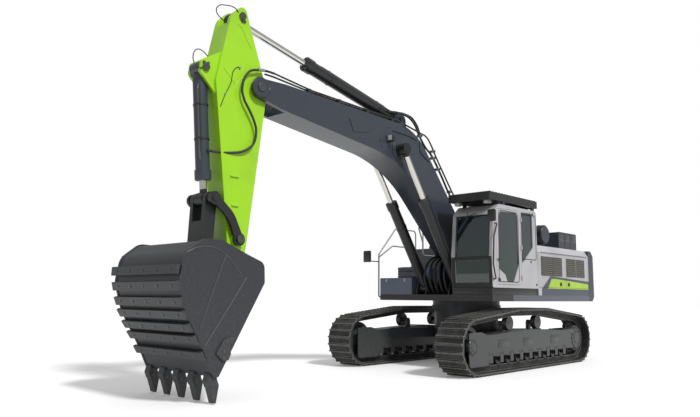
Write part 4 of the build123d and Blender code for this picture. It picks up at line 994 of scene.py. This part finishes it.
def slot_rows(m, side, panels, name, body):
    """Louvre panels in a side's face: a dark plate that paints the shade behind the slats, slats ahead of it,
    and a rim.
    """
    rim_y = span(side, HALF_WIDTH - 3.0, HALF_WIDTH + 9.0)
    for number, (x0, x1) in enumerate(panels, 1):
        # Dark plate flush with the door: painted shade for the openings behind the slats.
        boxes("%s_grille_back_%d" % (name, number), m["seal"], body, [
            ((x0 - 14.0, x1 + 14.0), span(side, HALF_WIDTH - 3.0, HALF_WIDTH + 3.0), GRILLE_HEIGHTS)], 2.0)
        slat = ((x1 - x0) * MM, 0.012, 0.026)
        lowest = ((x0 + x1) / 2.0, side * (HALF_WIDTH + 5.0), 1967.0)
        bar_row(
            "%s_grille_%d" % (name, number), m["grille"], body, 9, (0.0, 0.0, 0.0433), slat, lowest,
            -18.0 * side,
        )
        rim = [((x0 - 16.0, x1 + 16.0), rim_y, around(z, 6.0)) for z in GRILLE_HEIGHTS]
        rim += [(around(x, 5.0), rim_y, GRILLE_HEIGHTS) for x in (x0 - 12.0, x1 + 12.0)]
        boxes("%s_grille_rim_%d" % (name, number), m["grille"], body, rim, 2.0)


def house_pieces(m):
    """Grilles and latches of the service doors, eave slots painted as shade, tail seam, lifting eyes and tail
    lamps.
    """
    front_panels = [(-1094.0, -605.0), (-1585.0, -1131.0)]
    rear_panels = [(-2316.0, -1855.0), (-2792.0, -2384.0)]
    slot_rows(m, 1.0, front_panels, "front_door", "front_service_door")
    slot_rows(m, 1.0, rear_panels, "rear_door", "rear_service_door")
    slot_rows(m, -1.0, rear_panels, "right_door", "right_service_door")
    for name, body, x, side in (
        ("front_door_latch", "front_service_door", -1527.0, 1.0),
        ("rear_door_latch", "rear_service_door", -1939.0, 1.0),
        ("right_door_latch", "right_service_door", -1939.0, -1.0),
    ):
        latch = [(0.0, 46.0), (9.0, 46.0), (13.0, 40.0), (13.0, 16.0), (6.0, 13.0)]
        Work().stud(x, HALF_WIDTH - 3.0, 1755.0, side, latch, 32).done(name, m["seal"], body)
    # Black boxes for the eave slots: painted shade where the slot openings are.
    boxes("eave_slots", m["seal"], "house", [
        ((x, x + 84.0), span(side, HALF_WIDTH - 3.0, HALF_WIDTH + 3.0), (2428.0, 2444.0))
        for x in range(-2960, -560, 120) for side in BOTH_SIDES
    ], 3.0)
    boxes("tail_seam", m["seal"], "house", [
        ((-3059.0, -3049.0), span(side, HALF_WIDTH - 3.0, HALF_WIDTH + 2.0), (1500.0, 2440.0))
        for side in BOTH_SIDES
    ], 2.0)
    turns = [pi * step / 12.0 for step in range(13)]
    tubes("lifting_eyes", m["charcoal"], "house", [
        [Vector((-3400.0 + 70.0 * cos(turn), y, 2592.0 + 70.0 * sin(turn))) for turn in turns]
        for y in (-650.0, 650.0)
    ], 15.0, 10)
    lamps = []
    for y in (-1180.0, 1180.0):
        x = -((TAIL_RADIUS ** 2 - y ** 2) ** 0.5)
        lamps.append(((x - 8.0, x + 30.0), around(y, 70.0), (1880.0, 1930.0)))
    boxes("tail_lamps", m["red"], "house", lamps, 6.0)
    roof_pieces(m)
    rails(m)
    steps(m)
    cab_trim(m)
    foot_hoses(m)


def roof_pieces(m):
    """Ribs and windows of the exhaust housing, and the air cleaner's bands and end cap."""
    ribs = [
        (around(x, 10.0), (1290.0, 1306.0), (2592.0, 3004.0)) for x in (-2950.0, -2640.0, -2320.0, -2010.0)]
    ribs += [((-2956.0, -2004.0), (1290.0, 1308.0), around(z, 10.0)) for z in (2640.0, 2996.0)]
    boxes("exhaust_ribs", m["slate"], "house", ribs)
    boxes("exhaust_windows", m["tank"], "house", [
        (x, (1292.0, 1303.0), (2790.0, 2950.0))
        for x in ((-2920.0, -2670.0), (-2610.0, -2350.0), (-2290.0, -2040.0))
    ], 3.0)
    x, z = AIR_CLEANER
    bands = Work()
    for y in (820.0, 1180.0):
        bands.stud(x, y - 15.0, z, 1.0, [(0.0, 218.0), (0.0, 226.0), (30.0, 226.0), (30.0, 218.0)], 56)
    bands.stud(x, 1296.0, z, 1.0, [(0.0, 200.0), (20.0, 200.0), (30.0, 188.0), (30.0, 50.0)], 56)
    bands.done("air_cleaner_bands", m["slate"], "house")


def rails(m):
    """Guard rails on the right side and by the tank, and the right mirror on the front post."""
    y, tank_y = GUARD_RAIL_Y, TANK_RAIL_Y
    tubes("guard_rails", m["rail"], "house", [bent(points, bend) for points, bend in (
        ([(1100.0, y, 2330.0), (1100.0, y, 2420.0), (476.0, y, 3064.0), (-308.0, y, 3064.0),
          (-308.0, y, 2385.0), (-308.0, -1540.0, 2385.0)], 90.0),
        ([(-612.0, -1540.0, 2385.0), (-612.0, y, 2385.0), (-612.0, y, 3173.0), (-1500.0, y, 3173.0),
          (-1500.0, y, 2385.0), (-1500.0, -1540.0, 2385.0)], 60.0),
        ([(-150.0, tank_y, 2585.0), (-150.0, tank_y, 3080.0), (630.0, tank_y, 3080.0),
          (448.0, tank_y, 2700.0), (448.0, tank_y, 2400.0), (-4.0, tank_y, 2400.0)], 60.0),
    )], 17.0, 12)
    mirror = Work().box((1450.0, 1510.0), (-1766.0, -1560.0), (2221.0, 2483.0), 26.0)
    mirror.tube([Vector((1100.0, y, 2250.0)), Vector((1455.0, y, 2250.0))], 12.0)
    mirror.done("right_mirror_shell", m["black"], "house")
    boxes("right_mirror_glass", m["chrome"], "house", [
        ((1446.0, 1452.0), (-1752.0, -1574.0), (2240.0, 2464.0))], 2.5)


def steps(m):
    """Treads of the step box, caps of the tanks, and the tool box's latches."""
    treads = Work()
    for z in (1620.0, 1760.0, 1900.0, 2040.0):
        treads.box((595.0, 618.0), (-1460.0, -965.0), around(z, 14.0))
    for y in (-1330.0, -1090.0):
        treads.box((40.0, 560.0), around(y, 90.0), (2125.0, 2136.0), 3.0)
    treads.done("step_treads", m["black"], "house")
    caps = Work()
    caps.lathe((-208.0, -1050.0, 2586.0), UP, [
        (0.0, 88.0), (60.0, 88.0), (70.0, 78.0), (110.0, 78.0), (120.0, 66.0), (120.0, 10.0)], 40)
    caps.lathe((-1300.0, -1180.0, 2586.0), UP, [(0.0, 100.0), (30.0, 100.0), (38.0, 90.0), (38.0, 10.0)], 40)
    caps.done("tank_caps", m["black"], "house")
    boxes("tool_box_latches", m["zinc"], "house", [
        ((1156.0, 1172.0), around(y, 22.0), (1780.0, 1850.0)) for y in (-1350.0, -830.0)], 5.0)


def cab_trim(m):
    """Window seals, front frame, mounts, grab bar, handle, hinges, lamps, wiper, mirror and guard bars."""
    seals = Work()
    for outline in (
        [(380.0, 1760.0, 60.0), (1186.0, 1760.0, 60.0), (1168.0, 3190.0, 110.0), (380.0, 3190.0, 90.0)],
        [(-380.0, 2250.0, 60.0), (240.0, 2250.0, 60.0), (240.0, 3200.0, 80.0), (-380.0, 3200.0, 80.0)],
    ):
        seals.tube(on_side(rounded(outline, 6), CAB_SIDE_Y), 9.0, 8, closed=True)
    seals.done("side_window_seals", m["seal"], "house")
    front = Work()
    front.box((1440.0, 1454.0), (606.0, 1538.0), (2182.0, 2248.0), 3.0)
    front.box((1424.0, 1446.0), (606.0, 1538.0), (1642.0, 1738.0), 3.0)
    for y0, y1 in ((606.0, 696.0), (1474.0, 1538.0)):
        front.plate([(1420.0, 1735.0), (1438.0, 1735.0), (1454.0, 2200.0), (1420.0, 2200.0)], y0, y1)
    front.done("cab_front_frame", m["seal"], "house")
    Work().tube([Vector(place) for place in (
        (1452.0, 700.0, 2250.0), (1452.0, 1470.0, 2250.0), (1369.0, 1470.0, 3080.0), (1369.0, 700.0, 3080.0)
    )], 12.0, 8, closed=True).done("windscreen_seal", m["seal"], "house")
    boxes("cab_mounts", m["black"], "house", [((-436.0, 1440.0), (612.0, 1536.0), (1496.0, 1644.0))], 8.0)
    tubes("cab_grab_bar", m["black"], "house", [bent([
        (1318.0, 1540.0, 2904.0), (1318.0, 1600.0, 2904.0), (1445.0, 1600.0, 2638.0),
        (1490.0, 1600.0, 2099.0), (1400.0, 1600.0, 1806.0), (1400.0, 1540.0, 1806.0)], 70.0)], 15.0, 12)
    handle = Work()
    handle.box((1150.0, 1222.0), (1542.0, 1566.0), (1765.0, 1830.0), 10.0)
    handle.box((1170.0, 1250.0), (1560.0, 1580.0), (2180.0, 2210.0), 8.0)
    handle.box((1165.0, 1185.0), (1542.0, 1566.0), (2180.0, 2210.0))
    handle.done("cab_door_handle", m["seal"], "cab_door")
    hinges = Work()
    for z in (1850.0, 2480.0, 3060.0):
        hinges.lathe((278.0, 1560.0, z - 45.0), UP, [(0.0, 18.0), (90.0, 18.0)], 16)
        hinges.box((240.0, 282.0), (1542.0, 1554.0), around(z, 36.0), 3.0)
    hinges.done("cab_door_hinges", m["pale"], "house")
    lamps, lenses = Work(), Work()
    for y in (750.0, 1435.0):
        lamps.box((1330.0, 1440.0), around(y, 62.0), (3300.0, 3374.0), 12.0)
        lenses.box((1436.0, 1446.0), around(y, 50.0), (3308.0, 3366.0))
    lamps.done("cab_lamp_shells", m["rail"], "house")
    lenses.done("cab_lamp_lenses", m["lens"], "house")
    tubes("wiper", m["seal"], "house", [
        [Vector((1452.0, 822.0, 3015.0)), Vector((1452.0, 1221.0, 3119.0))],
        [Vector((1446.0, 1000.0, 3160.0)), Vector((1454.0, 1020.0, 3060.0))],
    ], 8.0)
    screws = [((x, HALF_WIDTH + 2.0, z), (0.0, 1.0, 0.0)) for x, z in
              ((-256.0, 3229.0), (-146.0, 2200.0), (-369.0, 1721.0))]
    BOLTS.make(
        "cab_screws", points_mesh(screws), "house", material=m["black"], across=BOLT_ACROSS, height=0.012)
    mirror = Work().box((1450.0, 1520.0), (1500.0, 1671.0), (2926.0, 3164.0), 24.0)
    mirror.tube(
        bent([(1360.0, 1535.0, 3040.0), (1440.0, 1600.0, 3045.0), (1478.0, 1600.0, 3045.0)], 40.0), 12.0)
    mirror.done("cab_mirror_shell", m["black"], "house")
    bar_row(
        "guard_top_bars", m["black"], "house", 17, (0.115, 0.0, 0.0), (0.05, 0.94, 0.02),
        (-395.0, 1073.0, 3529.0))
    bar_row(
        "guard_front_bars", m["black"], "house", 8, (0.0, 0.112, 0.0), (0.012, 0.018, 0.13),
        (1510.0, 682.0, 3447.0))


def foot_hoses(m):
    """Bow-shaped hoses from the deck to the boom's foot."""
    for number, y in enumerate((-240.0, -120.0, 0.0, 120.0, 240.0), 1):
        path = flowing([(1000.0, y, 1500.0), (1120.0, y * 1.05, 1640.0), (1210.0, y * 1.05, 1900.0),
                        (1120.0, y, 2160.0), (950.0, y, 2280.0), (800.0, y, 2330.0), (690.0, y, 2400.0)])
        tubes("foot_hose_%d" % number, m["hose"], ("house", "boom", path[0], path[-1]), [path], 24.0, 12)


def undercarriage(m, bolts):
    """Covers of the end wheels with their bolts, bolts of the rollers, and panels on the track frames."""
    covers = Work()
    for side in BOTH_SIDES:
        out = (0.0, side, 0.0)
        for x, rim in ((-WHEEL_BASE / 2.0, 250.0), (WHEEL_BASE / 2.0, 150.0)):
            cover = [(0.0, rim), (58.0, rim), (70.0, rim - 12.0), (74.0, rim * 0.55), (84.0, rim * 0.5),
                     (84.0, 20.0)]
            covers.stud(x, 1500.0, AXLE_Z, side, cover, 48)
            reach = rim - 26.0
            for index in range(14):
                turn = 2.0 * pi * index / 14
                place = (x + reach * cos(turn), side * 1572.0, AXLE_Z + reach * sin(turn))
                bolts["undercarriage"].append((place, out))
        for index in range(9):
            for x in around(-1560.0 + 390.0 * index, 55.0):
                bolts["undercarriage"].append(((x, side * 1562.0, 380.0), out))
    covers.done("wheel_covers", m["frame"], "undercarriage")
    boxes("track_frame_panels", m["frame"], "undercarriage", [
        (x, span(side, 1556.0, 1566.0), (480.0, 640.0))
        for side in BOTH_SIDES for x in ((-1300.0, -900.0), (-100.0, 300.0), (900.0, 1300.0))
    ], 5.0)


def bucket_pieces(m, bolts):
    """Wear strips with their bolts, side ridges, side cutters, tooth adapters, tooth pins and pin caps."""
    half = BUCKET_HALF_WIDTH
    strips = Work()
    for x, z, heading in (
        (1403.0, -70.0, -82.0), (1379.0, -287.0, -98.0), (1327.0, -497.0, -106.0), (1264.0, -668.0, -116.0),
        (1178.0, -835.0, -120.0), (1088.0, -990.0, -120.0), (971.0, -1205.0, -117.0),
    ):
        middle = bucket_at(x, z)
        corners = [moved(middle, turned(heading, along, out)) for along, out in (
            (-62.0, -30.0), (62.0, -30.0), (62.0, 2.0), (-62.0, 14.0))]
        strips.plate(corners, -half - 12.0, half + 12.0)
        normal = turned(heading, 0.0, 1.0)
        place = moved(middle, turned(heading, 0.0, 8.0))
        for y in (-700.0, -350.0, 0.0, 350.0, 700.0):
            bolts["bucket"].append(((place[0], y, place[1]), (normal[0], 0.0, normal[1])))
    strips.done("bucket_wear_strips", m["wear"], "bucket")
    tubes("bucket_side_ridges", m["pin"], "bucket", [
        flowing(on_side(points, side * half)) for points in (
            [(7887, 2000), (7691, 2084), (7423, 2078), (7200, 1950), (6990, 1740)],
            [(7266, 1990), (7458, 1501), (7642, 1013)],
            [(6896, 1699), (7265, 1180), (7560, 780)],
        ) for side in BOTH_SIDES
    ], 9.0)
    cutters = Work()
    outline = [bucket_at(x, z) + (r,) for x, z, r in (
        (640.0, -1000.0, 0.0), (470.0, -960.0, 20.0), (505.0, -1040.0, 15.0), (560.0, -1090.0, 0.0),
        (520.0, -1190.0, 20.0), (560.0, -1270.0, 15.0), (640.0, -1290.0, 0.0), (760.0, -1180.0, 0.0))]
    for side in BOTH_SIDES:
        cutters.plate(outline, *span(side, half - 10.0, half + 26.0))
        for x, z in ((600.0, -1020.0), (640.0, -1150.0), (640.0, -1240.0)):
            place = bucket_at(x, z)
            bolts["bucket"].append(((place[0], side * (half + 27.0), place[1]), (0.0, side, 0.0)))
    cutters.done("side_cutters", m["wear"], "bucket")
    adapters, pins = Work(), Work()
    outline = [bucket_at(x, z) for x, z in (
        (690.0, -1440.0), (804.0, -1440.0), (834.0, -1540.0), (800.0, -1625.0), (722.0, -1625.0),
        (688.0, -1545.0))]
    x, z = bucket_at(765.0, -1580.0)
    for index in range(5):
        y = -740.0 + 370.0 * index
        adapters.plate(outline, y - 66.0, y + 66.0)
        pins.stud(x, y - 72.0, z, 1.0, [(0.0, 15.0), (144.0, 15.0)], 16)
    adapters.done("tooth_adapters", m["wear"], "bucket")
    pins.done("tooth_pins", m["pin"], "bucket")
    pin_caps(m, "bucket_pin_caps", "bucket", [(ARM_TIP, 300.0), (EAR_PIN, 300.0)], 60.0, 14.0)


# Studio

def stage_floor():
    """Floor that reads as white to the camera and lights the machine only a little from below."""
    bpy.ops.mesh.primitive_plane_add(size=160.0, location=(0.0, 0.0, 0.0))
    floor = bpy.context.object
    floor.name = "studio_floor"
    f = Finish("studio_floor")
    cloud = f.grain(0.5, 2.0)
    path = f.node("ShaderNodeLightPath").socket.node.outputs
    seen = Value(f, path["Is Camera Ray"]).most(Value(f, path["Is Glossy Ray"])).most(
        Value(f, path["Is Transmission Ray"]))
    white = f.mix(cloud * 0.1, linear(252, 252, 252), linear(244, 244, 244))
    material = f.surface(
        Base_Color=f.mix(seen, linear(150, 150, 150), white), Roughness=0.9,
        Emission_Color=white, Emission_Strength=0.12,
    )
    floor.data.materials.append(material)


def studio_sky():
    """White surroundings for the camera and through glass, a dimmer one as light."""
    world = bpy.data.worlds.new("studio")
    bpy.context.scene.world = world
    world.use_nodes = True
    sky = Graph(world.node_tree)
    sky.tree.nodes.clear()
    path = sky.node("ShaderNodeLightPath").socket.node.outputs
    seen = Value(sky, path["Is Camera Ray"]).most(Value(sky, path["Is Transmission Ray"]))
    strength = sky.node("ShaderNodeMapRange", None, {"Value": seen, "To Min": 0.5, "To Max": 1.0})
    back = sky.node("ShaderNodeBackground", None, {"Strength": strength, "Color": (1.0, 1.0, 1.0, 1.0)})
    sky.node("ShaderNodeOutputWorld", None, {"Surface": back})


def light_machine():
    """Key light high on the cab side."""
    sun = bpy.data.lights.new("key", "SUN")
    sun.energy = 2.4
    sun.angle = radians(8.0)
    key = bpy.data.objects.new("key", sun)
    bpy.context.scene.collection.objects.link(key)
    key.rotation_euler = Vector((-0.05, -0.72, -0.75)).to_track_quat("-Z", "Y").to_euler()


BOLTS = bolt_tree()
ROWS = row_tree()

aim_camera()
finishes = all_finishes()
dress_nodes(finishes)
bolt_places = {name: [] for name in (
    "arm", "boom", "undercarriage", "bucket", "boom_cylinder_barrels", "arm_cylinder_barrel",
    "bucket_cylinder_barrel")}
arm_pieces(finishes, bolt_places)
boom_pieces(finishes, bolt_places)
front_hoses(finishes)
cylinders(finishes, bolt_places)
house_pieces(finishes)
undercarriage(finishes, bolt_places)
bucket_pieces(finishes, bolt_places)
for body, places in bolt_places.items():
    BOLTS.make(
        body + "_bolts", points_mesh(places), body, across=BOLT_ACROSS, height=BOLT_HEIGHT,
        material=finishes["frame" if body == "undercarriage" else "pin"],
    )
stage_floor()
studio_sky()
light_machine()
bpy.context.scene.view_settings.view_transform = "Standard"
